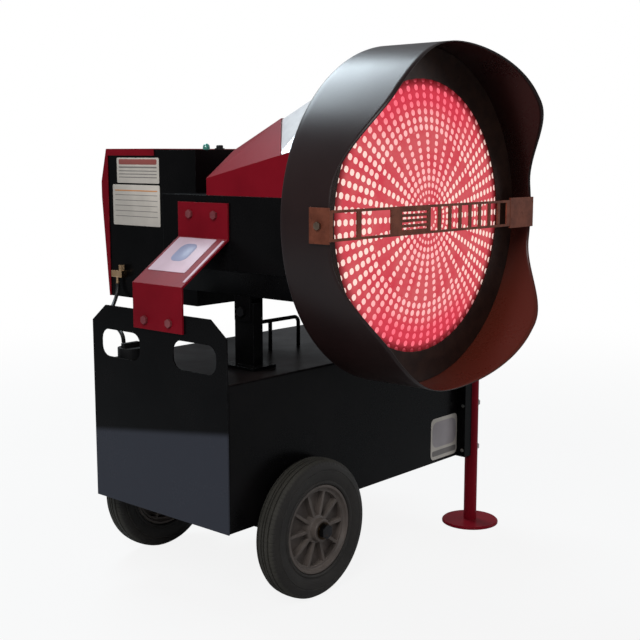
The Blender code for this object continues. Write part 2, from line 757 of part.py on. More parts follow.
def fuel_cap():
    """Shell over the filler neck, with a grip bar across its top."""
    bore = FILLER_RADIUS + GAP
    low = FILLER_HEIGHT + GAP - CAP_SKIRT
    roof = FILLER_HEIGHT + GAP
    top = CAP_HEIGHT - CAP_GRIP_HEIGHT
    profile = [(0, top), (CAP_RADIUS, top), (CAP_RADIUS, low), (bore, low), (bore, roof), (0, roof)]
    seat = (FILLER_X, FILLER_Y, TANK_TOP)
    cap = turned("fuel_cap", profile, "z", seat, "black_plastic", "cap")
    grip_size = (CAP_GRIP_LENGTH, CAP_GRIP_WIDTH, CAP_GRIP_HEIGHT + CAP_WALL)
    grip_middle = (FILLER_X, FILLER_Y, TANK_TOP + CAP_HEIGHT - (CAP_GRIP_HEIGHT + CAP_WALL) / 2)
    join(cap, box("cap_grip", grip_size, grip_middle, None, "cap"))


def handle_plate():
    half = TANK_HALF_WIDTH
    height = HANDLE_TOP - TANK_CLEARANCE
    edge = [
        (-half, 0),
        (half, 0),
        (half, height - HANDLE_CLIP_HEIGHT),
        (half - HANDLE_CLIP_WIDTH, height),
        (-half + HANDLE_CLIP_WIDTH, height),
        (-half, height - HANDLE_CLIP_HEIGHT),
    ]
    up = HAND_HOLE_Z - TANK_CLEARANCE
    holes = [
        rounded_rectangle(HAND_HOLE_WIDTH, HAND_HOLE_HEIGHT, HAND_HOLE_CORNER, (side * HAND_HOLE_Y, up))
        for side in (-1, 1)
    ]
    middle = (HANDLE_X + HANDLE_PLATE_THICKNESS / 2, 0, TANK_CLEARANCE)
    plate = flat("handle_plate", [edge, *holes], HANDLE_PLATE_THICKNESS, "x", middle, "black_paint", "cart")
    for side in (-1, 1):
        place = (HANDLE_X, BRACKET_Y + side * BRACKET_BOLT_SPACING / 2, BRACKET_BOLT_LOW_Z)
        hole(plate, BRACKET_BOLT_RADIUS + GAP, "x", place, 2 * OVERRUN)


def tyre(name, group, centre):
    """Solid tyre with rounded shoulders, two tread grooves and a bead that grips the rim."""
    half = TYRE_WIDTH / 2
    shoulder = WHEEL_RADIUS - TYRE_SHOULDER
    groove = half / 3
    side = arc((shoulder, half - TYRE_SHOULDER), TYRE_SHOULDER, 90, 0, 3)
    tread = [
        (WHEEL_RADIUS, groove + TYRE_GROOVE_WIDTH / 2),
        (WHEEL_RADIUS - TYRE_GROOVE_DEPTH, groove + TYRE_GROOVE_WIDTH / 2),
        (WHEEL_RADIUS - TYRE_GROOVE_DEPTH, groove - TYRE_GROOVE_WIDTH / 2),
        (WHEEL_RADIUS, groove - TYRE_GROOVE_WIDTH / 2),
    ]
    upper = [(TYRE_BEAD_RADIUS, RIM_WIDTH / 2), (TYRE_BEAD_RADIUS + RIM_WALL, half)] + side + tread
    lower = [(radius, -height) for radius, height in reversed(upper)]
    turned(name, upper + lower, "y", centre, "tyre_rubber", group, steps=40)


def rim(name, group, centre):
    """Moulded rim: a band under the tyre, a web, a hub and ribs on the web's outer side."""
    band = TYRE_BEAD_RADIUS - GAP
    half = RIM_WIDTH / 2
    hub_half = HUB_WIDTH / 2
    bore = AXLE_RADIUS + BUSH_WALL + 2 * GAP
    web = RIM_WEB / 2
    upper = [
        (bore, hub_half),
        (HUB_RADIUS, hub_half),
        (HUB_RADIUS, web),
        (band - RIM_WALL, web),
        (band - RIM_WALL, half),
        (band, half),
    ]
    lower = [(radius, -height) for radius, height in reversed(upper)]
    wheel = turned(name, upper + lower, "y", centre, "rim_plastic", group)
    inner = HUB_RADIUS - RIM_WALL
    outer = band - RIM_WALL / 2
    for number in range(RIB_COUNT):
        angle = math.tau * number / RIB_COUNT
        reach = (inner + outer) / 2
        middle = Vector(centre) + Vector((reach * math.cos(angle), 0, reach * math.sin(angle)))
        rib = box(name + "_rib", (outer - inner, RIB_DEPTH, RIB_WIDTH), middle, None, group)
        rib.rotation_euler = (0, -angle, 0)
        join(wheel, rib)


def bush(name, group, centre):
    bore = AXLE_RADIUS + GAP
    outer = bore + BUSH_WALL
    half = HUB_WIDTH / 2 + GAP
    profile = [
        (bore, half + BUSH_FLANGE),
        (BUSH_FLANGE_RADIUS, half + BUSH_FLANGE),
        (BUSH_FLANGE_RADIUS, half),
        (outer, half),
        (outer, -half),
        (bore, -half),
    ]
    outward = "-y" if centre[1] < 0 else "y"
    turned(name, profile, outward, centre, "brass", group)


def wheels_and_axle():
    for name, side in (("near", -1), ("far", 1)):
        centre = (WHEEL_X, side * WHEEL_Y, AXLE_Z)
        group = name + "_wheel"
        tyre(name + "_tyre", group, centre)
        rim(name + "_rim", group, centre)
        bush(name + "_bush", group, centre)
        seat = side * (AXLE_HALF_LENGTH - AXLE_NUT_WIDTH)
        nut_place = (WHEEL_X, seat + side * AXLE_NUT_WIDTH / 2, AXLE_Z)
        nut = rod("axle_nut_" + name, AXLE_NUT_RADIUS, AXLE_NUT_WIDTH, "y", nut_place, "zinc", "cart", HEX)
        hole(nut, AXLE_RADIUS + GAP, "y", nut_place, 2 * AXLE_NUT_WIDTH, ROUND)
    rod("axle", AXLE_RADIUS, 2 * AXLE_HALF_LENGTH, "y", (WHEEL_X, 0, AXLE_Z), "zinc", "cart")
    axle_beam()


def axle_beam():
    """Channel under the tank, open below, with an end plate at each side that holds the axle."""
    top = TANK_CLEARANCE - GAP
    size = (BEAM_WIDTH, BEAM_LENGTH, BEAM_DROP)
    beam = box("axle_beam", size, (WHEEL_X, 0, top - BEAM_DROP / 2), "black_paint", "cart")
    inside = (BEAM_WIDTH - 2 * BEAM_WALL, BEAM_LENGTH - 2 * BEAM_WALL, BEAM_DROP)
    cut(beam, box("beam_inside", inside, (WHEEL_X, 0, top - BEAM_DROP / 2 - BEAM_WALL), None, "cart"))
    hole(beam, AXLE_RADIUS + GAP, "y", (WHEEL_X, 0, AXLE_Z), BEAM_LENGTH + 2 * OVERRUN, ROUND)


def leg(name, side):
    """Tube welded to a round foot, with two slots in which the clamp bolts let it rise and fall."""
    y = side * LEG_Y
    bore = LEG_RADIUS - LEG_WALL
    profile = [
        (0, FOOT_THICKNESS),
        (bore, FOOT_THICKNESS),
        (bore, LEG_TOP),
        (LEG_RADIUS, LEG_TOP),
        (LEG_RADIUS, FOOT_THICKNESS),
        (FOOT_RADIUS - FOOT_EDGE, FOOT_THICKNESS),
        (FOOT_RADIUS, FOOT_THICKNESS - FOOT_EDGE),
        (FOOT_RADIUS, 0),
        (0, 0),
    ]
    pipe = turned(name, profile, "z", (LEG_X, y, 0), "red_paint", name)
    slot_half = LEG_BOLT_RADIUS + LEG_TRAVEL + GAP
    slot = rounded_rectangle(2 * (LEG_BOLT_RADIUS + GAP), 2 * slot_half, LEG_BOLT_RADIUS + GAP)
    for height in (LEG_BOLT_LOW_Z, LEG_BOLT_HIGH_Z):
        cut(pipe, flat("leg_slot", [slot], 4 * LEG_RADIUS, "x", (LEG_X, y, height), None, name))


def leg_mount(name, side):
    """Plate on the tank's end with a saddle strip that the leg lies against, and two clamp bolts."""
    y = side * LEG_Y
    height = LEG_PLATE_TOP - LEG_PLATE_BOTTOM
    middle_z = (LEG_PLATE_TOP + LEG_PLATE_BOTTOM) / 2
    outer_y = y + side * LEG_RADIUS / 2
    plate_middle = (LEG_PLATE_X, outer_y - side * LEG_PLATE_WIDTH / 2, middle_z)
    plate_size = (LEG_PLATE_THICKNESS, LEG_PLATE_WIDTH, height)
    plate = box(name + "_bracket", plate_size, plate_middle, "red_paint", "cart")
    face = LEG_PLATE_X + LEG_PLATE_THICKNESS / 2
    saddle_reach = LEG_X - LEG_RADIUS / 2 - face
    saddle_size = (saddle_reach + LEG_PLATE_THICKNESS / 2, LEG_SADDLE_WIDTH, height)
    saddle_x = face + saddle_reach - saddle_size[0] / 2
    join(plate, box("saddle", saddle_size, (saddle_x, y, middle_z), None, "cart"))
    hole(plate, LEG_RADIUS + GAP, "z", (LEG_X, y, middle_z), height + 2 * OVERRUN, ROUND)
    seat_x = LEG_X + LEG_RADIUS + GAP
    sizes = (LEG_BOLT_RADIUS, LEG_BOLT_HEAD_RADIUS, LEG_BOLT_HEAD_HEIGHT)
    grip = seat_x - (LEG_PLATE_X - LEG_PLATE_THICKNESS / 2)
    for row, bolt_z in (("lower", LEG_BOLT_LOW_Z), ("upper", LEG_BOLT_HIGH_Z)):
        seat = (seat_x, y, bolt_z)
        bolt(f"{name}_bolt_{row}", *sizes, grip, "x", seat, "zinc", "cart", nut=False)
        hole(plate, LEG_BOLT_RADIUS + GAP, "x", (LEG_PLATE_X, y, bolt_z), 2 * LEG_PLATE_WIDTH)


def post(name, side):
    """Square tube on a foot plate, open at its top, with a hole for the pivot bolt."""
    x = side * POST_X
    base_top = TANK_TOP + GAP + POST_BASE_THICKNESS
    base_middle = (x, TILT_Y, base_top - POST_BASE_THICKNESS / 2)
    base_size = (POST_BASE_WIDTH, POST_BASE_DEPTH, POST_BASE_THICKNESS)
    foot = box(name, base_size, base_middle, "black_paint", "cart")
    low = base_top - POST_BASE_THICKNESS / 2
    height = POST_TOP - low
    middle = (x, TILT_Y, low + height / 2)
    join(foot, box("post_tube", (POST_WIDTH, POST_DEPTH, height), middle, None, "cart"))
    bore_size = (POST_WIDTH - 2 * POST_WALL, POST_DEPTH - 2 * POST_WALL, height)
    bore_middle = (x, TILT_Y, low + height / 2 + POST_BASE_THICKNESS)
    cut(foot, box("post_bore", bore_size, bore_middle, None, "cart"))
    hole(foot, PIVOT_RADIUS + GAP, "x", (x, TILT_Y, TILT_Z), POST_WIDTH + 2 * OVERRUN)


def yoke(name, side):
    """Folded strap under the tray whose two ears straddle a post."""
    low = -YOKE_DROP
    inner = YOKE_HALF_WIDTH - YOKE_WALL
    outline = [
        (-YOKE_HALF_WIDTH, low),
        (-inner, low),
        (-inner, -YOKE_WALL),
        (inner, -YOKE_WALL),
        (inner, low),
        (YOKE_HALF_WIDTH, low),
        (YOKE_HALF_WIDTH, 0),
        (-YOKE_HALF_WIDTH, 0),
    ]
    x = side * POST_X
    strap = flat(name, [outline], YOKE_DEPTH, "y", (x, TILT_Y, YOKE_TOP), "black_paint", "head")
    hole(strap, PIVOT_RADIUS + GAP, "x", (x, TILT_Y, TILT_Z), 2 * YOKE_HALF_WIDTH + 2 * OVERRUN)


def pivot_bolt(name, side):
    grip = 2 * (YOKE_HALF_WIDTH + GAP)
    seat = (side * (POST_X + grip / 2), TILT_Y, TILT_Z)
    axis = "x" if side > 0 else "-x"
    bolt(name, PIVOT_RADIUS, PIVOT_HEAD_RADIUS, PIVOT_HEAD_HEIGHT, grip, axis, seat, "zinc", "cart")


def cord_hook():
    """Bent rod that stands on the tank to wind the cord on, with a second leg under its long bar."""
    half = HOOK_SPAN / 2
    foot = TANK_TOP + GAP
    top = foot + HOOK_HEIGHT
    bend = arc((half - HOOK_BEND, top - HOOK_BEND), HOOK_BEND, 90, 0, 4)
    outline = [(-half - HOOK_OVERHANG, top)] + bend + [(half, foot)]
    points = [(HOOK_X + across, HOOK_Y, height) for across, height in outline]
    hook = tube("cord_hook", points, HOOK_RADIUS, "black_paint", "cart", resolution=2)
    leg_middle = (HOOK_X - half, HOOK_Y, (foot + top) / 2)
    join(hook, rod("hook_leg", HOOK_RADIUS, top - foot, "z", leg_middle, None, "cart", SMALL_ROUND))


def transport_bracket():
    """Stepped plate that ties the head's side to the handle plate, with its four bolts."""
    out = BRACKET_THICKNESS
    rise = BRACKET_FOLD_HIGH_Z - BRACKET_FOLD_LOW_Z
    run = BRACKET_HIGH_X - BRACKET_LOW_X
    slope = math.atan2(rise, run)
    shift = out * math.tan((math.pi / 2 - slope) / 2)
    left = [
        (BRACKET_LOW_X, BRACKET_LOW_Z),
        (BRACKET_LOW_X, BRACKET_FOLD_LOW_Z + shift),
        (BRACKET_HIGH_X, BRACKET_FOLD_HIGH_Z + shift),
        (BRACKET_HIGH_X, BRACKET_HIGH_Z),
    ]
    right = [
        (BRACKET_HIGH_X + out, BRACKET_HIGH_Z),
        (BRACKET_HIGH_X + out, BRACKET_FOLD_HIGH_Z),
        (BRACKET_LOW_X + out, BRACKET_FOLD_LOW_Z),
        (BRACKET_LOW_X + out, BRACKET_LOW_Z),
    ]
    middle = (0, BRACKET_Y, 0)
    plate = flat("transport_bracket", [left + right], BRACKET_WIDTH, "y", middle, "red_paint", "cart")
    sizes = (BRACKET_BOLT_RADIUS, BRACKET_BOLT_HEAD_RADIUS, BRACKET_BOLT_HEAD_HEIGHT)
    low_grip = BRACKET_THICKNESS + HANDLE_PLATE_THICKNESS + 3 * GAP
    rows = (
        ("lower", BRACKET_LOW_X, BRACKET_BOLT_LOW_Z, low_grip, True),
        ("upper", BRACKET_HIGH_X, BRACKET_BOLT_HIGH_Z, BRACKET_THICKNESS, False),
    )
    for row, x, z, grip, nut in rows:
        for side_name, side in (("front", -1), ("rear", 1)):
            y = BRACKET_Y + side * BRACKET_BOLT_SPACING / 2
            seat = (x - GAP, y, z)
            hole(plate, BRACKET_BOLT_RADIUS + GAP, "x", seat, 4 * BRACKET_THICKNESS)
            bolt(f"bracket_bolt_{row}_{side_name}", *sizes, grip, "-x", seat, "zinc", "cart", nut)


def eased(value, start, end):
    """0 before start and 1 after end, with a smooth step between them."""
    share = min(max((value - start) / (end - start), 0), 1)
    return share * share * (3 - 2 * share)


def hood_front(angle):
    """How far forward the hood reaches at an angle about its axis: drawn back to a waist at each side,
    furthest in the four lobes, and drawn back a little again at its top and bottom."""
    from_side = math.atan2(abs(math.sin(angle)), abs(math.cos(angle)))
    lobe = eased(from_side, HOOD_WAIST_ANGLE, HOOD_LOBE_ANGLE)
    top = eased(from_side, HOOD_TOP_ANGLE, math.radians(90))
    reach = HOOD_WAIST_Y + (HOOD_LOBE_Y - HOOD_WAIST_Y) * lobe
    return reach + (HOOD_TOP_Y - HOOD_LOBE_Y) * top


def hood():
    """Rolled sheet with a wavy front edge, closed at its rear by a flange with a bore for the chamber."""
    angles = [math.tau * step / HOOD_STEPS for step in range(HOOD_STEPS)]

    def ring(radius, places):
        return [
            (radius * math.cos(angle), y, HEAD_Z + radius * math.sin(angle))
            for angle, y in zip(angles, places)
        ]

    rows = [
        ring(HOOD_BORE, [HOOD_REAR_Y] * HOOD_STEPS),
        ring(HOOD_RADIUS, [HOOD_REAR_Y] * HOOD_STEPS),
        ring(HOOD_RADIUS, [DISC_Y] * HOOD_STEPS),
        ring(HOOD_RADIUS, [hood_front(angle) for angle in angles]),
    ]
    shell = sheet("hood", rows, HOOD_WALL, "gunmetal", "head", closed=True)
    screw_y = HOOD_WAIST_Y + TAB_LENGTH / 2
    length = 2 * (HOOD_RADIUS + OVERRUN)
    hole(shell, SCREW_RADIUS + GAP, "x", (0, screw_y, HEAD_Z), length)


def disc_and_ring():
    """The emission disc lies behind a ring that reaches out to the hood."""
    outer = HOOD_RADIUS - HOOD_WALL - GAP
    front = RING_WALL + GAP
    profile = [
        (RING_BORE, front),
        (outer, front),
        (outer, -RING_LIP),
        (outer - RING_WALL, -RING_LIP),
        (outer - RING_WALL, front - RING_WALL),
        (RING_BORE, front - RING_WALL),
    ]
    turned("disc_ring", profile, "-y", (0, DISC_Y, HEAD_Z), "heat_steel", "head", steps=HOOD_STEPS)
    shares = [step / DISC_DOME_STEPS for step in range(DISC_DOME_STEPS + 1)]
    dome = [(DISC_DOME_RADIUS * share, DISC_DOME * (1 - share * share)) for share in shares]
    rear = [(radius, height - DISC_THICKNESS) for radius, height in dome]
    rim = [(DISC_RADIUS, -DISC_THICKNESS), (DISC_RADIUS, 0)]
    disc = rear + rim + list(reversed(dome))
    middle = (0, DISC_Y, HEAD_Z)
    turned("emission_disc", disc, "-y", middle, "glowing_steel", "head", steps=HOOD_STEPS)


def strap_windows():
    """The strap's windows as (start, end) pairs along it: two wide ones, then an even grille."""
    wide = [(HOOD_RADIUS * start, HOOD_RADIUS * end) for start, end in STRAP_WINDOW_SHARES]
    pitch = (STRAP_GRILLE_LENGTH + STRAP_GRILLE_BAR) / STRAP_GRILLE_WINDOWS
    starts = [STRAP_GRILLE_START + number * pitch for number in range(STRAP_GRILLE_WINDOWS)]
    return wide + [(start, start + pitch - STRAP_GRILLE_BAR) for start in starts]


def guard_strap():
    """Slotted bar across the hood's waist, with ends folded back over its sides and screwed on."""
    fold_x = HOOD_RADIUS + GAP + STRAP_THICKNESS
    size = (2 * fold_x, STRAP_THICKNESS, STRAP_HEIGHT)
    strap = box("guard_strap", size, (0, STRAP_Y, HEAD_Z), "copper_strap", "head")
    for start, end in strap_windows():
        window = (end - start, 4 * STRAP_THICKNESS, STRAP_HEIGHT - 2 * STRAP_RAIL)
        window_middle = ((start + end) / 2, STRAP_Y, HEAD_Z)
        cut(strap, box("strap_window", window, window_middle, None, "head"))
    slot_ends = [HOOD_RADIUS * share for share in STRAP_SLOT_SHARES]
    slot = (slot_ends[1] - slot_ends[0], 4 * STRAP_THICKNESS, STRAP_SLOT_HEIGHT)
    for number in range(STRAP_SLOTS):
        slot_z = HEAD_Z + (number - (STRAP_SLOTS - 1) / 2) * STRAP_SLOT_PITCH
        slot_middle = (sum(slot_ends) / 2, STRAP_Y, slot_z)
        cut(strap, box("strap_slot", slot, slot_middle, None, "head"))
    plate_start = HOOD_RADIUS * STRAP_PLATE_SHARE
    plate_size = (fold_x - plate_start, STRAP_THICKNESS + TAB_STEP, TAB_HEIGHT)
    plate_middle = ((fold_x + plate_start) / 2, STRAP_Y - TAB_STEP / 2, HEAD_Z)
    join(strap, box("strap_plate", plate_size, plate_middle, None, "head"))
    outer_x = fold_x + TAB_STEP
    tab_size = (STRAP_THICKNESS + TAB_STEP, TAB_LENGTH, TAB_HEIGHT)
    for name, side in (("left", -1), ("right", 1)):
        x = side * (outer_x - tab_size[0] / 2)
        tab_y = STRAP_Y + TAB_LENGTH / 2
        join(strap, box("strap_tab", tab_size, (x, tab_y, HEAD_Z), None, "head"))
        screw_y = HOOD_WAIST_Y + TAB_LENGTH / 2
        hole(strap, SCREW_RADIUS + GAP, "x", (x, screw_y, HEAD_Z), 4 * STRAP_THICKNESS)
        seat = (side * (outer_x + GAP), screw_y, HEAD_Z)
        axis = "x" if side > 0 else "-x"
        sizes = (SCREW_RADIUS, SCREW_HEAD_RADIUS, SCREW_HEAD_HEIGHT)
        bolt("strap_screw_" + name, *sizes, SCREW_LENGTH, axis, seat, "zinc", "head", nut=False)


def casing_and_tray():
    """Lower casing, open in front and under the flared cover, and the tray that the yokes carry."""
    length = CASING_REAR_Y - CASING_FRONT_Y
    height = CASING_TOP - CASING_BOTTOM
    middle_y = (CASING_REAR_Y + CASING_FRONT_Y) / 2
    middle_z = (CASING_TOP + CASING_BOTTOM) / 2
    size = (2 * CASING_HALF_WIDTH, length, height)
    casing = box("lower_casing", size, (0, middle_y, middle_z), "black_paint", "head")
    inside = (2 * (CASING_HALF_WIDTH - SHEET), length, height - 2 * SHEET)
    cut(casing, box("casing_inside", inside, (0, middle_y - SHEET, middle_z), None, "head"))
    deck_size = (2 * (CASING_HALF_WIDTH - SHEET), COVER_REAR_Y - CASING_FRONT_Y, height)
    deck_middle = (0, (COVER_REAR_Y + CASING_FRONT_Y) / 2 - SHEET, middle_z + SHEET)
    cut(casing, box("casing_deck", deck_size, deck_middle, None, "head"))
    blast_hole = (0, CASING_REAR_Y, HEAD_Z)
    hole(casing, BLAST_RADIUS + GAP, "y", blast_hole, 2 * OVERRUN, ROUND)

    tray_length = TRAY_REAR_Y - CASING_FRONT_Y
    tray_middle = (0, (TRAY_REAR_Y + CASING_FRONT_Y) / 2, 0)
    tray = flat("belly_tray", [tray_section()], tray_length, "y", tray_middle, "black_paint", "head")
    hollow = tray_section(SHEET)
    cut(tray, flat("tray_inside", [hollow], tray_length - 2 * SHEET, "y", tray_middle, None, "head"))


def tray_section(wall=0.0):
    """The tray's sloped cross-section, or with a wall the hollow inside it, which is open above."""
    top = CASING_BOTTOM - GAP
    top_half = CASING_HALF_WIDTH - TRAY_TOP_INSET - wall
    bottom_half = CASING_HALF_WIDTH - TRAY_BOTTOM_INSET - wall
    bottom = TRAY_BOTTOM + wall
    if wall:
        lean = (top_half - bottom_half) / (top - bottom)
        top_half += lean * OVERRUN
        top += OVERRUN
    return [(-bottom_half, bottom), (bottom_half, bottom), (top_half, top), (-top_half, top)]


def cover_section(y):
    """The flared cover at y: its side edges' height, its top's height and half width, and the slope
    of the faces between them."""
    share = (y - COVER_REAR_Y) / (CASING_FRONT_Y - COVER_REAR_Y)
    side_z = COVER_SIDE_REAR_Z + (COVER_SIDE_FRONT_Z - COVER_SIDE_REAR_Z) * share
    top_z = COVER_TOP_REAR_Z + (COVER_TOP_FRONT_Z - COVER_TOP_REAR_Z) * share
    top_half = COVER_TOP_REAR_HALF + (COVER_TOP_FRONT_HALF - COVER_TOP_REAR_HALF) * share
    return side_z, top_z, top_half, math.atan2(top_z - side_z, CASING_HALF_WIDTH - top_half)


def cover_row(y, top_y, inset=0.0, foot=None):
    """A line over the flared cover, from its left foot to its right foot: at y on its side edges and
    at top_y on its top edges."""
    side_z, _, _, side_slope = cover_section(y)
    _, top_z, top_half, top_slope = cover_section(top_y)
    side_drop = inset * math.tan((math.pi / 2 - side_slope) / 2)
    top_draw = inset * math.tan(top_slope / 2)
    foot_z = CASING_TOP + GAP if foot is None else side_z - foot
    right = [
        (top_half - top_draw, top_y, top_z - inset),
        (CASING_HALF_WIDTH - inset, y, side_z - side_drop),
        (CASING_HALF_WIDTH - inset, y, foot_z),
    ]
    return [(-x, place, z) for x, place, z in reversed(right)] + right


def cover_and_collar():
    """Red flared cover with bare steel showing between its upper faces and the hood."""
    ends = ((COVER_REAR_Y, COVER_REAR_Y), (COVER_STEP_Y, COVER_STEP_TOP_Y), (CASING_FRONT_Y, CASING_FRONT_Y))
    rows = [cover_row(*places) for places in ends]
    upper = [(1, strip) for strip in (1, 2, 3)]
    sheet("flared_cover", rows, HOOD_WALL, "red_paint", "head", end=True, skipped=upper)
    collar_front = CASING_FRONT_Y + HOOD_WALL
    ends = ((COVER_STEP_Y + COLLAR_TUCK, COVER_STEP_TOP_Y + COLLAR_TUCK), (collar_front, collar_front))
    collar = [cover_row(*places, COLLAR_INSET, COLLAR_SIDE_LIP) for places in ends]
    sheet("steel_collar", collar, HOOD_WALL, "bright_steel", "head")


def burner_box():
    length = BOX_REAR_Y - BOX_FRONT_Y
    height = BOX_TOP - BOX_BOTTOM
    middle = (0, (BOX_REAR_Y + BOX_FRONT_Y) / 2, (BOX_TOP + BOX_BOTTOM) / 2)
    case = box("burner_box", (2 * BOX_HALF_WIDTH, length, height), middle, "black_paint", "head")
    inside = (2 * (BOX_HALF_WIDTH - SHEET), length, height - 2 * SHEET)
    cut(case, box("box_inside", inside, (0, middle[1] + SHEET, middle[2]), None, "head"))
    hole(case, BLAST_RADIUS + GAP, "y", (0, BOX_FRONT_Y, HEAD_Z), 2 * OVERRUN, ROUND)
    return case


def rear_cover():
    """Folded cover: a top flange with side lips, and a rear face that bulges and has louvres."""
    back = BOX_REAR_Y + GAP
    top = BOX_TOP + GAP + SHEET
    deep = BOX_REAR_Y + REAR_COVER_DEPTH
    foot = back + REAR_COVER_FOOT_DEPTH
    outline = [
        (back - REAR_COVER_TOP_LENGTH, BOX_TOP + GAP),
        (back, BOX_TOP + GAP),
        (back, BOX_BOTTOM),
        (foot, BOX_BOTTOM),
        (deep, REAR_COVER_LOW_Z),
        (deep, REAR_COVER_HIGH_Z),
        (foot, top),
        (back - REAR_COVER_TOP_LENGTH, top),
    ]
    half = BOX_HALF_WIDTH + GAP + SHEET
    cover = flat("rear_cover", [outline], 2 * half, "x", (0, 0, 0), "red_paint", "head")
    pocket = [
        (back - OVERRUN, BOX_BOTTOM + 2 * SHEET),
        (foot - SHEET, BOX_BOTTOM + 2 * SHEET),
        (deep - SHEET, REAR_COVER_LOW_Z),
        (deep - SHEET, REAR_COVER_HIGH_Z),
        (foot - SHEET, BOX_TOP - SHEET),
        (back - OVERRUN, BOX_TOP - SHEET),
    ]
    cut(cover, flat("cover_pocket", [pocket], 2 * (half - SHEET), "x", (0, 0, 0), None, "head"))
    lip_size = (SHEET, REAR_COVER_TOP_LENGTH, REAR_COVER_LIP)
    lip_y = back + SHEET / 2 - REAR_COVER_TOP_LENGTH / 2
    for side in (-1, 1):
        lip_middle = (side * (half - SHEET / 2), lip_y, top - REAR_COVER_LIP / 2)
        join(cover, box("cover_lip", lip_size, lip_middle, None, "head"))
    for number in range(LOUVRE_COUNT):
        slot_middle = (0, deep, LOUVRE_Z + number * LOUVRE_PITCH)
        slot = box("louvre", (LOUVRE_WIDTH, 4 * REAR_COVER_DEPTH, LOUVRE_HEIGHT), slot_middle, None, "head")
        cut(cover, slot)


def combustion_chamber():
    """Dish behind the disc that narrows to a round chamber, with a rear plate round the blast tube."""
    reach = DISC_Y + DISC_THICKNESS + GAP
    profile = [
        (DISC_RADIUS, reach),
        (CHAMBER_RADIUS + (DISC_RADIUS - CHAMBER_RADIUS) / 2, CHAMBER_DISH_Y),
        (CHAMBER_RADIUS, HOOD_REAR_Y - HOOD_WALL - GAP - CHAMBER_WALL),
        (CHAMBER_RADIUS, CHAMBER_REAR_Y),
        (BLAST_RADIUS + GAP, CHAMBER_REAR_Y),
    ]
    heights = [(radius, y - HOOD_REAR_Y) for radius, y in reversed(profile)]
    place = (0, HOOD_REAR_Y, HEAD_Z)
    turned("combustion_chamber", heights, "y", place, "heat_steel", "head", steps=40, wall=CHAMBER_WALL)


def blast_tube():
    """Tube that carries air and flame into the chamber, flanged onto the fan housing."""
    rear = DUCT_FRONT_Y - GAP
    bore = BLAST_RADIUS - SHEET
    profile = [
        (bore, rear),
        (BLAST_FLANGE_RADIUS, rear),
        (BLAST_FLANGE_RADIUS, rear - BLAST_FLANGE),
        (BLAST_RADIUS, rear - BLAST_FLANGE),
        (BLAST_RADIUS, BLAST_FRONT_Y),
        (bore, BLAST_FRONT_Y),
    ]
    turned("blast_tube", profile, "y", (0, 0, HEAD_Z), "heat_steel", "head")


def nozzle_assembly():
    """Fuel pipe, diffuser plate that centres it in the tube, nozzle tip and two electrodes."""
    plate_radius = BLAST_RADIUS - SHEET - GAP
    profile = [
        (0, NOZZLE_REAR_Y),
        (NOZZLE_PIPE_RADIUS, NOZZLE_REAR_Y),
        (NOZZLE_PIPE_RADIUS, DIFFUSER_Y + DIFFUSER_THICKNESS),
        (plate_radius, DIFFUSER_Y + DIFFUSER_THICKNESS),
        (plate_radius, DIFFUSER_Y),
        (NOZZLE_TIP_RADIUS, DIFFUSER_Y),
        (NOZZLE_TIP_RADIUS, NOZZLE_TIP_Y + NOZZLE_TIP_RADIUS),
        (NOZZLE_TIP_RADIUS / 2, NOZZLE_TIP_Y),
        (0, NOZZLE_TIP_Y),
    ]
    nozzle = turned("nozzle_assembly", profile, "y", (0, 0, HEAD_Z), "brass", "head", steps=SMALL_ROUND)
    length = NOZZLE_REAR_Y - NOZZLE_TIP_Y
    for side in (-1, 1):
        middle = (side * ELECTRODE_OFFSET, NOZZLE_TIP_Y + length / 2, HEAD_Z + ELECTRODE_OFFSET)
        join(nozzle, rod("electrode", ELECTRODE_RADIUS, length, "y", middle, None, "head", 8))


def fan_housing():
    """Drum round the fan with a duct to the blast tube, an inlet at -X and a shaft hole at +X."""
    drum_size = 2 * HOUSING_HALF_WIDTH
    axis_place = (0, FAN_Y, FAN_Z)
    drum = rod("fan_housing", HOUSING_RADIUS, drum_size, "x", axis_place, "grey_metal", "head")
    duct_length = FAN_Y - DUCT_FRONT_Y
    duct_middle = (0, DUCT_FRONT_Y + duct_length / 2, HEAD_Z)
    duct_size = (2 * DUCT_HALF_WIDTH, duct_length, 2 * DUCT_HALF_WIDTH)
    neck_size = (drum_size, duct_length, 2 * DUCT_HALF_WIDTH)
    flange_size = (duct_size[0], BLAST_FLANGE, duct_size[2])
    flange_middle = (0, DUCT_FRONT_Y + BLAST_FLANGE / 2, HEAD_Z)
    join(drum, box("duct", neck_size, duct_middle, None, "head"))
    join(drum, box("duct_flange", flange_size, flange_middle, None, "head"))
    bore_radius = HOUSING_RADIUS - SHEET
    bore_width = drum_size - 2 * SHEET
    cut(drum, rod("drum_bore", bore_radius, bore_width, "x", axis_place, None, "head"))
    duct_bore = (bore_width, duct_length + OVERRUN, 2 * (BLAST_RADIUS - SHEET))
    duct_bore_middle = (0, duct_middle[1] - OVERRUN / 2, HEAD_Z)
    cut(drum, box("duct_bore", duct_bore, duct_bore_middle, None, "head"))
    hole(drum, INLET_RADIUS, "x", (-HOUSING_HALF_WIDTH, FAN_Y, FAN_Z), 2 * OVERRUN, ROUND)
    hole(drum, FAN_BOSS_RADIUS, "x", (HOUSING_HALF_WIDTH, FAN_Y, FAN_Z), 2 * OVERRUN)


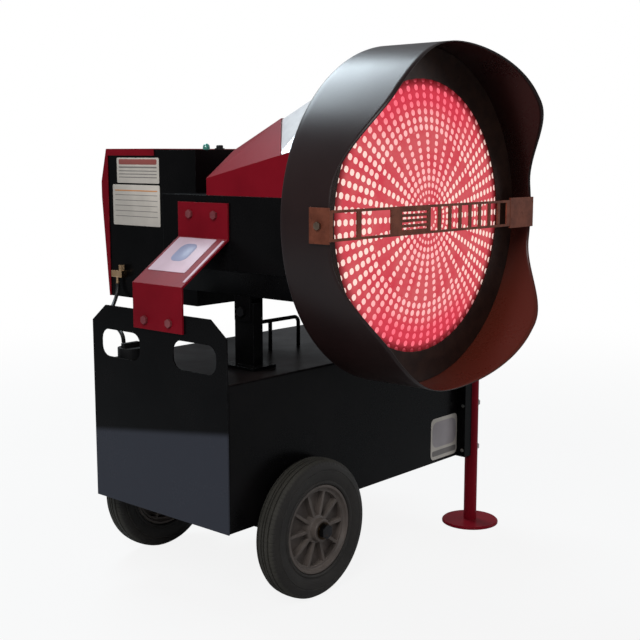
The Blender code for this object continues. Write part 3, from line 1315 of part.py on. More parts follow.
def fan_wheel():
    """Centrifugal fan wheel on the shaft that also drives the pump: a back plate, blades and a ring."""
    half = FAN_WIDTH / 2
    right = HOUSING_HALF_WIDTH + GAP + SHAFT_IN_MOTOR
    left = PUMP_X - SHAFT_IN_PUMP
    profile = [
        (0, right),
        (SHAFT_RADIUS, right),
        (SHAFT_RADIUS, half),
        (FAN_RADIUS, half),
        (FAN_RADIUS, half - FAN_PLATE),
        (FAN_BOSS_RADIUS, half - FAN_PLATE),
        (FAN_BOSS_RADIUS, 0),
        (SHAFT_RADIUS, 0),
        (SHAFT_RADIUS, left),
        (0, left),
    ]
    place = (0, FAN_Y, FAN_Z)
    wheel = turned("fan_wheel", profile, "x", place, "zinc", "fan")
    reach = FAN_RADIUS - FAN_BLADE_DEPTH / 2
    for number in range(FAN_BLADES):
        angle = math.tau * (number + 0.5) / FAN_BLADES
        middle = (0, FAN_Y + reach * math.cos(angle), FAN_Z + reach * math.sin(angle))
        size = (FAN_WIDTH - 2 * GAP, FAN_BLADE_DEPTH - 2 * GAP, FAN_BLADE_THICKNESS)
        blade = box("blade", size, middle, None, "fan")
        blade.rotation_euler = (angle, 0, 0)
        join(wheel, blade)
    ring_profile = [
        (FAN_RADIUS - FAN_BLADE_DEPTH, -half + FAN_PLATE),
        (FAN_RADIUS, -half + FAN_PLATE),
        (FAN_RADIUS, -half),
        (FAN_RADIUS - FAN_BLADE_DEPTH, -half),
    ]
    join(wheel, turned("fan_ring", ring_profile, "x", place, None, "fan"))


def motor():
    face = HOUSING_HALF_WIDTH + GAP
    bore = SHAFT_RADIUS + GAP
    depth = SHAFT_IN_MOTOR + GAP
    profile = [
        (0, MOTOR_LENGTH),
        (MOTOR_RADIUS - MOTOR_FLANGE, MOTOR_LENGTH),
        (MOTOR_RADIUS, MOTOR_LENGTH - MOTOR_FLANGE),
        (MOTOR_RADIUS, MOTOR_FLANGE),
        (MOTOR_FLANGE_RADIUS, MOTOR_FLANGE),
        (MOTOR_FLANGE_RADIUS, 0),
        (bore, 0),
        (bore, depth),
        (0, depth),
    ]
    turned("motor", profile, "x", (face, FAN_Y, FAN_Z), "grey_metal", "head")


def fuel_pump():
    """Gear pump on three stand-offs, so that air reaches the fan's inlet behind it."""
    body_middle = (PUMP_X - PUMP_LENGTH / 2, FAN_Y, FAN_Z)
    pump = box("fuel_pump", (PUMP_LENGTH, PUMP_DEPTH, PUMP_HEIGHT), body_middle, "grey_metal", "head", SHEET)
    flange_middle = (PUMP_X + PUMP_FLANGE / 2 - SHEET / 2, FAN_Y, FAN_Z)
    join(pump, rod("pump_flange", PUMP_FLANGE_RADIUS, PUMP_FLANGE + SHEET, "x", flange_middle, None, "head"))
    leg_length = PUMP_STANDOFF + PUMP_FLANGE
    for number in range(PUMP_LEGS):
        angle = math.tau * (number + 0.25) / PUMP_LEGS
        middle = (
            -(HOUSING_HALF_WIDTH + GAP) - leg_length / 2,
            FAN_Y + PUMP_LEG_CIRCLE * math.cos(angle),
            FAN_Z + PUMP_LEG_CIRCLE * math.sin(angle),
        )
        join(pump, rod("pump_leg", PUMP_LEG_RADIUS, leg_length, "x", middle, None, "head", 8))
    bore_length = 2 * (SHAFT_IN_PUMP + GAP)
    hole(pump, SHAFT_RADIUS + GAP, "x", (PUMP_X, FAN_Y, FAN_Z), bore_length)
    hole(pump, FAN_BOSS_RADIUS, "x", (PUMP_X + PUMP_FLANGE, FAN_Y, FAN_Z), 2 * (PUMP_FLANGE - SHEET))


def ignition_transformer():
    """Transformer hung from the box's top on four short posts."""
    top = BOX_TOP - SHEET - GAP
    body_top = top - TRANSFORMER_POST_HEIGHT
    middle = (TRANSFORMER_X, TRANSFORMER_Y, body_top - TRANSFORMER_HEIGHT / 2)
    size = (TRANSFORMER_WIDTH, TRANSFORMER_DEPTH, TRANSFORMER_HEIGHT)
    case = box("ignition_transformer", size, middle, "black_plastic", "head", SHEET)
    for side in (-1, 1):
        for end in (-1, 1):
            x = TRANSFORMER_X + side * (TRANSFORMER_WIDTH / 2 - 2 * TRANSFORMER_POST_RADIUS)
            y = TRANSFORMER_Y + end * (TRANSFORMER_DEPTH / 2 - 2 * TRANSFORMER_POST_RADIUS)
            length = TRANSFORMER_POST_HEIGHT + SHEET
            place = (x, y, top - length / 2)
            join(case, rod("transformer_post", TRANSFORMER_POST_RADIUS, length, "z", place, None, "head", 8))


def controls(case):
    """Panel with the power inlet on the box's +X side; its knob and switch are groups of their own."""
    edge = rounded_rectangle(PANEL_WIDTH, PANEL_HEIGHT, PANEL_CORNER)
    middle = (BOX_HALF_WIDTH + GAP + PANEL_THICKNESS / 2, PANEL_Y, PANEL_Z)
    panel = flat("control_panel", [edge], PANEL_THICKNESS, "x", middle, "black_plastic", "head")
    frame_reach = SWITCH_FRAME_DEPTH + SHEET
    frame_size = (frame_reach, SWITCH_WIDTH + 2 * SWITCH_FRAME, SWITCH_HEIGHT + 2 * SWITCH_FRAME)
    frame_x = PANEL_X + SWITCH_FRAME_DEPTH - frame_reach / 2
    join(panel, box("switch_frame", frame_size, (frame_x, SWITCH_Y, SWITCH_Z), None, "head"))
    pocket_size = (SWITCH_POCKET_REACH, SWITCH_WIDTH + 2 * GAP, SWITCH_HEIGHT + 2 * GAP)
    for wall in (panel, case):
        hole(wall, KNOB_SHAFT_RADIUS + GAP, "x", (PANEL_X, KNOB_Y, KNOB_Z), 2 * KNOB_SHAFT_LENGTH)
        cut(wall, box("switch_pocket", pocket_size, (PANEL_X, SWITCH_Y, SWITCH_Z), None, "head"))
    rim = 2 * POWER_INLET_RIM
    inlet_reach = POWER_INLET_DEPTH + SHEET
    inlet_x = PANEL_X + POWER_INLET_DEPTH - inlet_reach / 2
    inlet_size = (inlet_reach, POWER_INLET_WIDTH, POWER_INLET_HEIGHT)
    join(panel, box("power_inlet", inlet_size, (inlet_x, PANEL_Y, INLET_Z), None, "head"))
    recess_size = (2 * POWER_INLET_RECESS, POWER_INLET_WIDTH - rim, POWER_INLET_HEIGHT - rim)
    recess_middle = (PANEL_X + POWER_INLET_DEPTH, PANEL_Y, INLET_Z)
    cut(panel, box("inlet_recess", recess_size, recess_middle, None, "head"))
    thermostat_knob()
    power_switch()


def thermostat_knob():
    """Skirted knob with a raised pointer, on a short shaft through the panel."""
    face = PANEL_X + GAP
    profile = [
        (0, KNOB_HEIGHT),
        (KNOB_RADIUS - KNOB_SKIRT_HEIGHT, KNOB_HEIGHT),
        (KNOB_RADIUS, KNOB_SKIRT_HEIGHT),
        (KNOB_SKIRT_RADIUS, KNOB_SKIRT_HEIGHT),
        (KNOB_SKIRT_RADIUS, 0),
        (KNOB_SHAFT_RADIUS, 0),
        (KNOB_SHAFT_RADIUS, -KNOB_SHAFT_LENGTH),
        (0, -KNOB_SHAFT_LENGTH),
    ]
    knob = turned("thermostat_knob", profile, "x", (face, KNOB_Y, KNOB_Z), "black_plastic", "knob")
    size = (2 * KNOB_POINTER_HEIGHT, KNOB_POINTER_WIDTH, KNOB_RADIUS - KNOB_POINTER_WIDTH)
    middle = (face + KNOB_HEIGHT, KNOB_Y, KNOB_Z + size[2] / 2)
    join(knob, box("knob_pointer", size, middle, None, "knob"))


def power_switch():
    """Rocker that turns about Y just above the panel's face, drawn in its off position."""
    half = SWITCH_HEIGHT / 2 - SHEET
    rise = SWITCH_FRAME_DEPTH
    outline = [(-half, rise), (-half, -rise), (half, -rise), (half, rise), (0, rise + SHEET)]
    rocker = flat("power_switch", [outline], SWITCH_WIDTH - 2 * GAP, "y", PIVOTS["switch"],
                  "black_plastic", "switch")
    rocker.rotation_euler = (math.pi / 2, math.pi / 2 + SWITCH_REST_ANGLE, 0)


def lamp_and_plug():
    top = BOX_TOP + GAP
    dome = arc((0, LAMP_HEIGHT - LAMP_RADIUS), LAMP_RADIUS, 90, 0, 4)
    profile = [(0, dome[0][1])] + dome[1:] + [(LAMP_RADIUS, 0), (0, 0)]
    turned("indicator_lamp", profile, "z", (LAMP_X, LAMP_Y, top), "lamp_lens", "head", steps=SMALL_ROUND)
    profile = [
        (0, PLUG_HEIGHT),
        (PLUG_CROWN_RADIUS - PLUG_RIM / 2, PLUG_HEIGHT),
        (PLUG_CROWN_RADIUS, PLUG_HEIGHT - PLUG_RIM / 2),
        (PLUG_CROWN_RADIUS, PLUG_RIM),
        (PLUG_RADIUS, PLUG_RIM),
        (PLUG_RADIUS, 0),
        (0, 0),
    ]
    turned("top_plug", profile, "z", (PLUG_X, PLUG_Y, top), "black_plastic", "head", steps=SMALL_ROUND)


def fuel_fittings():
    """Brass block on the box's -X side with a capped end and a barb for the hose."""
    x = -(BOX_HALF_WIDTH + GAP + FITTING_DEPTH / 2)
    size = (FITTING_DEPTH, FITTING_LENGTH, FITTING_HEIGHT)
    block = box("fuel_fitting", size, (x, FITTING_Y, FITTING_Z), "brass", "head", SHEET / 2)
    barb_y = HOSE_ROUTE[0][1]
    barb_length = FITTING_BARB_LENGTH + FITTING_HEIGHT / 2
    barb_z = FITTING_Z - barb_length / 2
    join(block, rod("barb", FITTING_BARB_RADIUS, barb_length, "z", (x, barb_y, barb_z), None, "head", 12))
    cap_y = FITTING_Y - FITTING_LENGTH / 2 + FITTING_CAP_RADIUS
    cap_length = FITTING_CAP_LENGTH + FITTING_HEIGHT / 2
    cap_z = FITTING_Z + cap_length / 2
    join(block, rod("fitting_cap", FITTING_CAP_RADIUS, cap_length, "z", (x, cap_y, cap_z), None, "head", HEX))
    tube("fuel_hose", smooth_route(HOSE_ROUTE, HOSE_STEPS), HOSE_RADIUS, "hose_rubber", "cart")


fuel_tank()
fuel_cap()
handle_plate()
wheels_and_axle()
for leg_name, side_sign in (("front_leg", -1), ("rear_leg", 1)):
    leg(leg_name, side_sign)
    leg_mount(leg_name, side_sign)
for post_side, side_sign in (("left", -1), ("right", 1)):
    post("post_" + post_side, side_sign)
    yoke("yoke_" + post_side, side_sign)
    pivot_bolt("pivot_bolt_" + post_side, side_sign)
cord_hook()
transport_bracket()
hood()
disc_and_ring()
guard_strap()
casing_and_tray()
cover_and_collar()
burner_case = burner_box()
rear_cover()
combustion_chamber()
blast_tube()
nozzle_assembly()
fan_housing()
fan_wheel()
motor()
fuel_pump()
ignition_transformer()
controls(burner_case)
lamp_and_plug()
fuel_fittings()
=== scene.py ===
"""Radiant heater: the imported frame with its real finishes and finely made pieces, in a pale studio."""
import json
import math

import bmesh
import bpy
from mathutils import Matrix, Vector


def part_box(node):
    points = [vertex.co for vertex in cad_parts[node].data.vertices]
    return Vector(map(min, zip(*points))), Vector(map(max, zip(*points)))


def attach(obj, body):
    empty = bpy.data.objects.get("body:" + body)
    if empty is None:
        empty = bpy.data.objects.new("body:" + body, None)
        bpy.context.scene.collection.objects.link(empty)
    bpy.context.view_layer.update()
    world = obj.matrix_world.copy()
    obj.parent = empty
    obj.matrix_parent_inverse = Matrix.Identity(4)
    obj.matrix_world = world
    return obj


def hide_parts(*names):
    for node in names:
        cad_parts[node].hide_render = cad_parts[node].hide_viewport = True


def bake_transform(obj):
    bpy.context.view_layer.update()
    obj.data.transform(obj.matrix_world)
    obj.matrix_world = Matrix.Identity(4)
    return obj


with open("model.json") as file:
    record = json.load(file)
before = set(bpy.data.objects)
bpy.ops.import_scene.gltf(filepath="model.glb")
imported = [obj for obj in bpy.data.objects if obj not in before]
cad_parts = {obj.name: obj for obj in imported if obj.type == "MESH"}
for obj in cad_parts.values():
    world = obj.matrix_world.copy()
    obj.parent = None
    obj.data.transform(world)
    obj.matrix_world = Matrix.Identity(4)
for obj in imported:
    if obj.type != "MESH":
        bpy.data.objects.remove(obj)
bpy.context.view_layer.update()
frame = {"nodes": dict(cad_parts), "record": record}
nodes = frame["nodes"]

MERGE = 0.00001
FULL_TURN = math.tau
QUARTER_TURN = math.radians(90)
SHARP_ANGLE = math.radians(32)


def linked(name, data):
    """A new object in the scene, made of its data."""
    obj = bpy.data.objects.new(name, data)
    bpy.context.scene.collection.objects.link(obj)
    return obj


# Camera

CAMERA_PLACE = (-1.6778, -1.5065, 0.8115)
CAMERA_HEADING = math.radians(-48.6)
CAMERA_DIP = math.radians(8.52)
LENS = 62.7
SENSOR = 36.0


def set_camera():
    data = bpy.data.cameras.new("photo_camera")
    data.lens = LENS
    data.sensor_width = SENSOR
    camera = linked("photo_camera", data)
    camera.location = CAMERA_PLACE
    camera.rotation_euler = (QUARTER_TURN - CAMERA_DIP, 0, CAMERA_HEADING)
    bpy.context.scene.camera = camera


set_camera()


# Shader values and looks

# Where a colour mix has its first colour, its second colour and its result
MIX_FIRST = 6
MIX_SECOND = 7
MIX_RESULT = 2
BEVEL_SAMPLES = 4
# 1 less the cosine between the rounded normal and the true one, where an edge begins and is full
EDGE_TURN = (0.01, 0.16)
# How much a surface faces up, where that begins to count and counts in full
FACING_UP = (0.55, 0.95)


class Value:
    """A socket's value, so that shader maths reads as Python."""

    def __init__(self, tree, socket):
        self.tree = tree
        self.socket = socket

    def maths(self, operation, *others):
        sockets = dict(enumerate((self,) + others))
        return self.tree.node("ShaderNodeMath", {"operation": operation}, sockets)

    def __add__(self, other):
        return self.maths("ADD", other)

    def __sub__(self, other):
        return self.maths("SUBTRACT", other)

    def __rsub__(self, other):
        return (self * -1) + other

    def __mul__(self, other):
        return self.maths("MULTIPLY", other)

    def __truediv__(self, other):
        return self.maths("DIVIDE", other)

    def __pow__(self, other):
        return self.maths("POWER", other)

    def above(self, low, high):
        """0 below low, 1 above high, smooth between."""
        settings = {"interpolation_type": "SMOOTHSTEP", "clamp": True}
        sockets = {"Value": self, "From Min": low, "From Max": high}
        return self.tree.node("ShaderNodeMapRange", settings, sockets)

    def scaled(self, low, high):
        """A share from 0 to 1, set between low and high."""
        sockets = {"Value": self, "To Min": low, "To Max": high}
        return self.tree.node("ShaderNodeMapRange", {"clamp": True}, sockets)


def distance(first, second):
    """Length of a line from the origin, from its parts along two axes."""
    return (first * first + second * second) ** 0.5


class Tree:
    """Shader nodes, added by calls and expressions, and the output node that they end in."""

    def __init__(self, owner, output_kind):
        owner.use_nodes = True
        self.tree = owner.node_tree
        self.tree.nodes.clear()
        self.end = self.tree.nodes.new(output_kind)

    def node(self, kind, settings=None, sockets=None, output=0):
        """Any node: its settings first, then its sockets, each a number, a vector or a Value."""
        made = self.tree.nodes.new(kind)
        for setting, value in (settings or {}).items():
            setattr(made, setting, value)
        for socket, value in (sockets or {}).items():
            if isinstance(value, Value):
                self.tree.links.new(value.socket, made.inputs[socket])
            else:
                made.inputs[socket].default_value = value
        return Value(self, made.outputs[output])

    def show(self, shader):
        """Ends the tree in a shader."""
        self.tree.links.new(shader.socket, self.end.inputs["Surface"])


def socket_name(word):
    """A skin socket's own name: specular_ior_level stands for Specular IOR Level."""
    return word.replace("_", " ").title().replace("Ior", "IOR")


class Look(Tree):
    """One finish. Its skin is a Principled shader."""

    def __init__(self, name, **constants):
        self.material = bpy.data.materials.new(name)
        super().__init__(self.material, "ShaderNodeOutputMaterial")
        sockets = {socket_name(word): value for word, value in constants.items()}
        self.skin = self.node("ShaderNodeBsdfPrincipled", {}, sockets, "BSDF")
        self.show(self.skin)

    def skin_from(self, **links):
        """Links values to the skin's sockets that may vary over the surface."""
        for word, value in links.items():
            self.tree.links.new(value.socket, self.skin.socket.node.inputs[socket_name(word)])

    def place(self, scale=(1, 1, 1), location=(0, 0, 0), rotation=(0, 0, 0)):
        """Object coordinates through a Mapping node."""
        point = self.node("ShaderNodeTexCoord", output="Object")
        sockets = {"Vector": point, "Location": location, "Rotation": rotation, "Scale": scale}
        return self.node("ShaderNodeMapping", {}, sockets)

    def axes(self, vector):
        return [self.node("ShaderNodeSeparateXYZ", {}, {0: vector}, output=axis) for axis in "XYZ"]

    def dot(self, first, second):
        sockets = {0: first, 1: second}
        return self.node("ShaderNodeVectorMath", {"operation": "DOT_PRODUCT"}, sockets, "Value")

    def cloud(self, scale, detail, roughness, where=None):
        sockets = {"Scale": scale, "Detail": detail, "Roughness": roughness}
        sockets["Vector"] = where or self.place()
        return self.node("ShaderNodeTexNoise", {}, sockets)

    def mix(self, share, first, second):
        """Colours, or two colour links, mixed by a share."""
        sockets = {0: share}
        for number, colour in ((MIX_FIRST, first), (MIX_SECOND, second)):
            sockets[number] = colour if isinstance(colour, Value) else tuple(colour) + (1.0,)
        return self.node("ShaderNodeMix", {"data_type": "RGBA"}, sockets, MIX_RESULT)

    def edges(self, radius):
        """(share that is 1 on edges, normal rounded over them)"""
        rounded = self.node("ShaderNodeBevel", {"samples": BEVEL_SAMPLES}, {"Radius": radius})
        true = self.node("ShaderNodeNewGeometry", output="Normal")
        return (1 - self.dot(rounded, true)).above(*EDGE_TURN), rounded

    def upward(self):
        """1 where the surface faces up."""
        normal = self.node("ShaderNodeNewGeometry", output="Normal")
        return self.axes(normal)[2].above(*FACING_UP)

    def relief(self, height, depth, strength, normal=None):
        sockets = {"Height": height, "Distance": depth, "Strength": strength}
        if normal:
            sockets["Normal"] = normal
        return self.node("ShaderNodeBump", {}, sockets)


def shade_of(colour, factor):
    return tuple(min(1.0, part * factor) for part in colour)


def shades_of(colour, factors):
    return [shade_of(colour, factor) for factor in factors]


def around(middle, shares):
    """The two ends of a range, each a share of its middle."""
    return [middle * share for share in shares]


# Kinds of finish. A cloud is (scale, detail, roughness). A spread is the range of a value over which
# an effect sets in. What ends in ROUGH is added to the roughness or taken from it

PAINT_CLOUD = (5.0, 4.0, 0.6)
PAINT_SPREAD = (0.35, 0.7)
PAINT_SHADES = (0.86, 1.18)
PAINT_ROUGH_SHARES = (0.8, 1.2)
SPECKLE_CLOUD = (220.0, 2.0, 0.6)
SPECKLE_ROUGH = 0.04
CHIP_CLOUD = (60.0, 4.0, 0.65)
CHIP_SPREAD = (0.42, 0.62)
CHIP_SHARE = 0.75
CHIP_ROUGH = 0.2
SCRATCH_CLOUD = (5.0, 1.0, 0.4)
SCRATCH_SPREAD = (0.70, 0.76)
SCRATCH_SHARE = 0.07
SCRATCH_SHADE = 0.8
SCRATCH_STRETCH = (9, 420, 9)
SCRATCH_TURN = (0.5, 0.3, 0.7)
DUST_SPREAD = (0.3, 0.75)
TOP_DUST_SHARE = 0.7
SIDE_DUST_SHARE = 0.12
DUST_ROUGH = 0.5
PEEL_CLOUD = (420.0, 1.0, 0.4)
PEEL_STRENGTH = 0.6

GRAIN_DETAIL = 2.0
GRAIN_ROUGHNESS = 0.6
GRAIN_HEIGHT = 0.00005
GRAIN_STRENGTH = 0.5
MOTTLE_CLOUD = (38.0, 4.0, 0.6)
MOTTLE_SPREAD = (0.3, 0.7)
STAIN_CLOUD = (90.0, 5.0, 0.7)
STAIN_SPREAD = (0.56, 0.72)
STAIN_ROUGH = 0.4
METAL_ROUGH_SHARES = (0.75, 1.25)
METAL_EDGE = 0.0006
METAL_EDGE_SHARE = 0.35
METAL_EDGE_SHADE = 1.35
METAL_EDGE_ROUGH = 0.06

PIT_DETAIL = 2.0
PIT_ROUGHNESS = 0.55
PIT_HEIGHT = 0.00008
PIT_STRENGTH = 0.7
MOULDED_CLOUD = (24.0, 4.0, 0.6)
MOULDED_SPREAD = (0.3, 0.75)
MOULDED_SHADES = (0.85, 1.25)
MOULDED_ROUGH_SHARES = (0.85, 1.15)
MOULDED_CLOUD_ROUGH = 0.06
MOULDED_EDGE = 0.0008
MOULDED_EDGE_ROUGH = 0.08
BLOOM_SPREAD = (0.25, 0.7)
TOP_BLOOM_SHARE = 0.18
EDGE_BLOOM_SHARE = 0.22


def painted(name, colour, edge_colour, rough, dust, peel=0.00006, edge_radius=0.0012, fade=None,
            dust_colour=(0.16, 0.145, 0.13), **constants):
    """Sprayed paint: orange peel, cloudy tone, rubbed edges, fine scratches, and dust on what faces up.
    fade is (direction, from, to, colour): another tone reached along that direction. The handle plate
    uses it for a painted floor reflection and the hood lining for painted glow light."""
    look = Look(name, **constants)
    edge, rounded = look.edges(edge_radius)
    broad = look.cloud(*PAINT_CLOUD)
    speckle = look.cloud(*SPECKLE_CLOUD)
    chipped = edge * look.cloud(*CHIP_CLOUD).above(*CHIP_SPREAD)
    scratch_place = look.place(scale=SCRATCH_STRETCH, rotation=SCRATCH_TURN)
    scratches = look.cloud(*SCRATCH_CLOUD, scratch_place).above(*SCRATCH_SPREAD)
    tone = look.mix(broad.above(*PAINT_SPREAD), *shades_of(colour, PAINT_SHADES))
    if fade:
        direction, start, end, tint = fade
        tone = look.mix(look.dot(look.place(), direction).above(start, end), tone, tint)
    dusty = (look.upward() * TOP_DUST_SHARE + SIDE_DUST_SHARE) * broad.above(*DUST_SPREAD) * dust
    tone = look.mix(dusty, tone, dust_colour)
    tone = look.mix(scratches * SCRATCH_SHARE, tone, shade_of(edge_colour, SCRATCH_SHADE))
    tone = look.mix(chipped * CHIP_SHARE, tone, edge_colour)
    roughness = (broad.scaled(*around(rough, PAINT_ROUGH_SHARES)) + dusty * DUST_ROUGH
                 + chipped * CHIP_ROUGH + speckle * SPECKLE_ROUGH)
    normal = look.relief(look.cloud(*PEEL_CLOUD), peel, PEEL_STRENGTH, rounded)
    look.skin_from(base_color=tone, roughness=roughness, normal=normal)
    return look.material


def metal(name, colour, tint, rough, spots, grain=(1, 1, 1), grain_scale=900.0,
          stain=(0.2, 0.17, 0.14), metallic=1.0, **constants):
    """Bare or plated metal: grain along the axis of least scale, mottled tone, stains, rubbed edges."""
    look = Look(name, metallic=metallic, **constants)
    edge, rounded = look.edges(METAL_EDGE)
    lines = look.cloud(grain_scale, GRAIN_DETAIL, GRAIN_ROUGHNESS, look.place(scale=grain))
    mottle = look.cloud(*MOTTLE_CLOUD)
    stains = look.cloud(*STAIN_CLOUD).above(*STAIN_SPREAD) * spots
    tone = look.mix(mottle.above(*MOTTLE_SPREAD), colour, tint)
    tone = look.mix(stains, tone, stain)
    tone = look.mix(edge * METAL_EDGE_SHARE, tone, shade_of(colour, METAL_EDGE_SHADE))
    roughness = (lines.scaled(*around(rough, METAL_ROUGH_SHARES)) + stains * STAIN_ROUGH
                 - edge * METAL_EDGE_ROUGH)
    normal = look.relief(lines, GRAIN_HEIGHT, GRAIN_STRENGTH, rounded)
    look.skin_from(base_color=tone, roughness=roughness, normal=normal)
    return look.material


def moulded(name, colour, rough, bloom, scale=700.0, **constants):
    """Moulded plastic or rubber: spark-eroded pits, paler rubbed edges and a chalky bloom."""
    look = Look(name, **constants)
    edge, rounded = look.edges(MOULDED_EDGE)
    pits = look.cloud(scale, PIT_DETAIL, PIT_ROUGHNESS)
    broad = look.cloud(*MOULDED_CLOUD)
    tone = look.mix(broad.above(*MOULDED_SPREAD), *shades_of(colour, MOULDED_SHADES))
    chalky = (look.upward() * TOP_BLOOM_SHARE + edge * EDGE_BLOOM_SHARE) * broad.above(*BLOOM_SPREAD)
    tone = look.mix(chalky, tone, bloom)
    roughness = (pits.scaled(*around(rough, MOULDED_ROUGH_SHARES)) + broad * MOULDED_CLOUD_ROUGH
                 - edge * MOULDED_EDGE_ROUGH)
    normal = look.relief(pits, PIT_HEIGHT, PIT_STRENGTH, rounded)
    look.skin_from(base_color=tone, roughness=roughness, normal=normal)
    return look.material


# Finishes

BLACK = (0.0024, 0.0023, 0.0026)
BLACK_EDGE = (0.030, 0.030, 0.032)
# Slate tone of a painted reflection of the pale floor, painted on the handle plate's lower part, and the
# slant of its upper edge
SLATE_REFLECTION = (0.037, 0.040, 0.052)
SLATE_REFLECTION_DIRECTION = (0, 0.1315, 1)
RED = (0.185, 0.0040, 0.0110)
RED_EDGE = (0.30, 0.07, 0.06)
# Painted light: the red of the hood lining's lower part, as if lit by the glowing disc
GLOW_LIT_RED = (0.085, 0.015, 0.008)
UP = (0, 0, 1)
HOOD_PEEL = 0.00009
PLATE_PAINT = {"peel": 0.00002, "edge_radius": 0.0004}
BAND_PAINT = {"peel": 0.00002, "edge_radius": 0.0003, "rough": 0.35, "dust": 0.2}

black_enamel = painted("black_enamel", BLACK, BLACK_EDGE, rough=0.24, dust=0.06,
                       specular_ior_level=0.06)
tank_enamel = painted("tank_enamel", BLACK, BLACK_EDGE, rough=0.26, dust=0.30,
                      dust_colour=(0.080, 0.058, 0.055), specular_ior_level=0.07)
# The handle plate's lower part is painted slate: a painted reflection of the floor in its black gloss
plate_enamel = painted("plate_enamel", BLACK, BLACK_EDGE, rough=0.24, dust=0.06,
                       fade=(SLATE_REFLECTION_DIRECTION, 0.320, 0.305, SLATE_REFLECTION), specular_ior_level=0.06)
hood_enamel = painted("hood_enamel", (0.0140, 0.0054, 0.0052), (0.05, 0.045, 0.045), rough=0.34,
                      dust=0.05, peel=HOOD_PEEL, specular_ior_level=0.27)
# The lining's lower part is painted redder: painted light from the glowing disc
hood_lining = painted("hood_lining", (0.0085, 0.0024, 0.0018), (0.05, 0.025, 0.02), rough=0.26,
                      dust=0.03, peel=HOOD_PEEL, fade=(UP, 0.76, 0.50, GLOW_LIT_RED), specular_ior_level=0.30)
red_enamel = painted("red_enamel", RED, RED_EDGE, rough=0.32, dust=0.04, specular_ior_level=0.05)
bright_steel = metal("polished_steel", (0.90, 0.90, 0.91), (0.78, 0.78, 0.80), rough=0.22, spots=0.10,
                     grain=(1, 14, 1), grain_scale=160.0, stain=(0.55, 0.50, 0.46), metallic=0.45)
zinc_plate = metal("zinc_plate", (0.55, 0.55, 0.53), (0.42, 0.42, 0.40), rough=0.34, spots=0.3)
# Dark steel for the axle, its nuts and the pivot bolts, far darker than zinc
dark_steel = metal("dark_steel", (0.045, 0.045, 0.048), (0.03, 0.03, 0.032), rough=0.4, spots=0.4,
                   stain=(0.11, 0.06, 0.035))
brass = metal("brass", (0.78, 0.52, 0.30), (0.60, 0.36, 0.18), rough=0.24, spots=0.35,
              stain=(0.13, 0.075, 0.03))
cast_grey = metal("cast_grey", (0.20, 0.205, 0.21), (0.15, 0.155, 0.16), rough=0.5, spots=0.25,
                  grain_scale=260.0, metallic=0.7)
heat_steel = metal("heat_steel", (0.038, 0.018, 0.013), (0.022, 0.011, 0.009), rough=0.42, spots=0.5,
                   grain=(1, 1, 9), grain_scale=120.0, stain=(0.012, 0.007, 0.007), metallic=0.3,
                   specular_ior_level=0.2)
strap_steel = metal("strap_steel", (0.20, 0.060, 0.034), (0.12, 0.034, 0.019), rough=0.46, spots=0.5,
                    grain=(0.1, 1, 1), grain_scale=240.0, stain=(0.035, 0.014, 0.010), metallic=0.2,
                    specular_ior_level=0.15)
aged_bronze = metal("aged_bronze", (0.060, 0.036, 0.018), (0.030, 0.020, 0.012), rough=0.45, spots=0.5,
                    stain=(0.01, 0.008, 0.006))
aged_zinc = metal("aged_zinc", (0.30, 0.22, 0.17), (0.20, 0.14, 0.10), rough=0.42, spots=0.4,
                  stain=(0.08, 0.04, 0.03))
# Bracket bolts: zinc tinted red, a painted reflection of the red bracket round them
red_reflection_bolt = metal("red_reflection_bolt", (0.34, 0.10, 0.105), (0.25, 0.05, 0.06), rough=0.34, spots=0.3,
                 stain=(0.12, 0.02, 0.02), metallic=0.6)
tyre_rubber = moulded("tyre_rubber", (0.0145, 0.0125, 0.0110), rough=0.62, bloom=(0.055, 0.05, 0.042),
                      scale=500.0, specular_ior_level=0.35)
rim_plastic = moulded("rim_plastic", (0.092, 0.075, 0.066), rough=0.45, bloom=(0.26, 0.23, 0.20),
                      specular_ior_level=0.3)
black_plastic = moulded("black_plastic", (0.0060, 0.0060, 0.0065), rough=0.45, bloom=(0.05, 0.05, 0.05),
                        specular_ior_level=0.25)
hose_rubber = moulded("hose_rubber", (0.0050, 0.0048, 0.0048), rough=0.42, bloom=(0.04, 0.04, 0.04),
                      scale=1100.0)
lamp_lens = moulded("lamp_lens", (0.05, 0.30, 0.24), rough=0.12, bloom=(0.3, 0.5, 0.45),
                    coat_weight=1.0)
pale_plate = painted("pale_plate", (0.58, 0.53, 0.47), (0.72, 0.70, 0.66), rough=0.35, dust=0.2,
                     dust_colour=(0.34, 0.29, 0.24), **PLATE_PAINT)
pink_plate = painted("pink_plate", (0.58, 0.42, 0.48), (0.80, 0.74, 0.74), rough=0.34, dust=0.2,
                     dust_colour=(0.42, 0.44, 0.52), specular_ior_level=0.12, **PLATE_PAINT)
haze_blue = painted("haze_blue", (0.30, 0.32, 0.46), (0.5, 0.5, 0.6), rough=0.34, dust=0.3,
                    dust_colour=(0.5, 0.42, 0.48), specular_ior_level=0.12, **PLATE_PAINT)
grey_plate = painted("grey_plate", (0.37, 0.33, 0.34), (0.55, 0.52, 0.50), rough=0.32, dust=0.25,
                     dust_colour=(0.2, 0.18, 0.17), **PLATE_PAINT)
band_red = painted("band_red", (0.30, 0.07, 0.06), (0.4, 0.2, 0.17), **BAND_PAINT)
line_grey = painted("line_grey", (0.20, 0.18, 0.17), (0.35, 0.32, 0.30), **BAND_PAINT)
band_orange = painted("band_orange", (0.62, 0.25, 0.08), (0.66, 0.4, 0.25), **BAND_PAINT)


# Looks of the glowing disc

hood_low, hood_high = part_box("hood")
HEAD_X = (hood_low.x + hood_high.x) / 2
HEAD_Z = (hood_low.z + hood_high.z) / 2
HOOD_RADIUS = (hood_high.x - hood_low.x) / 2

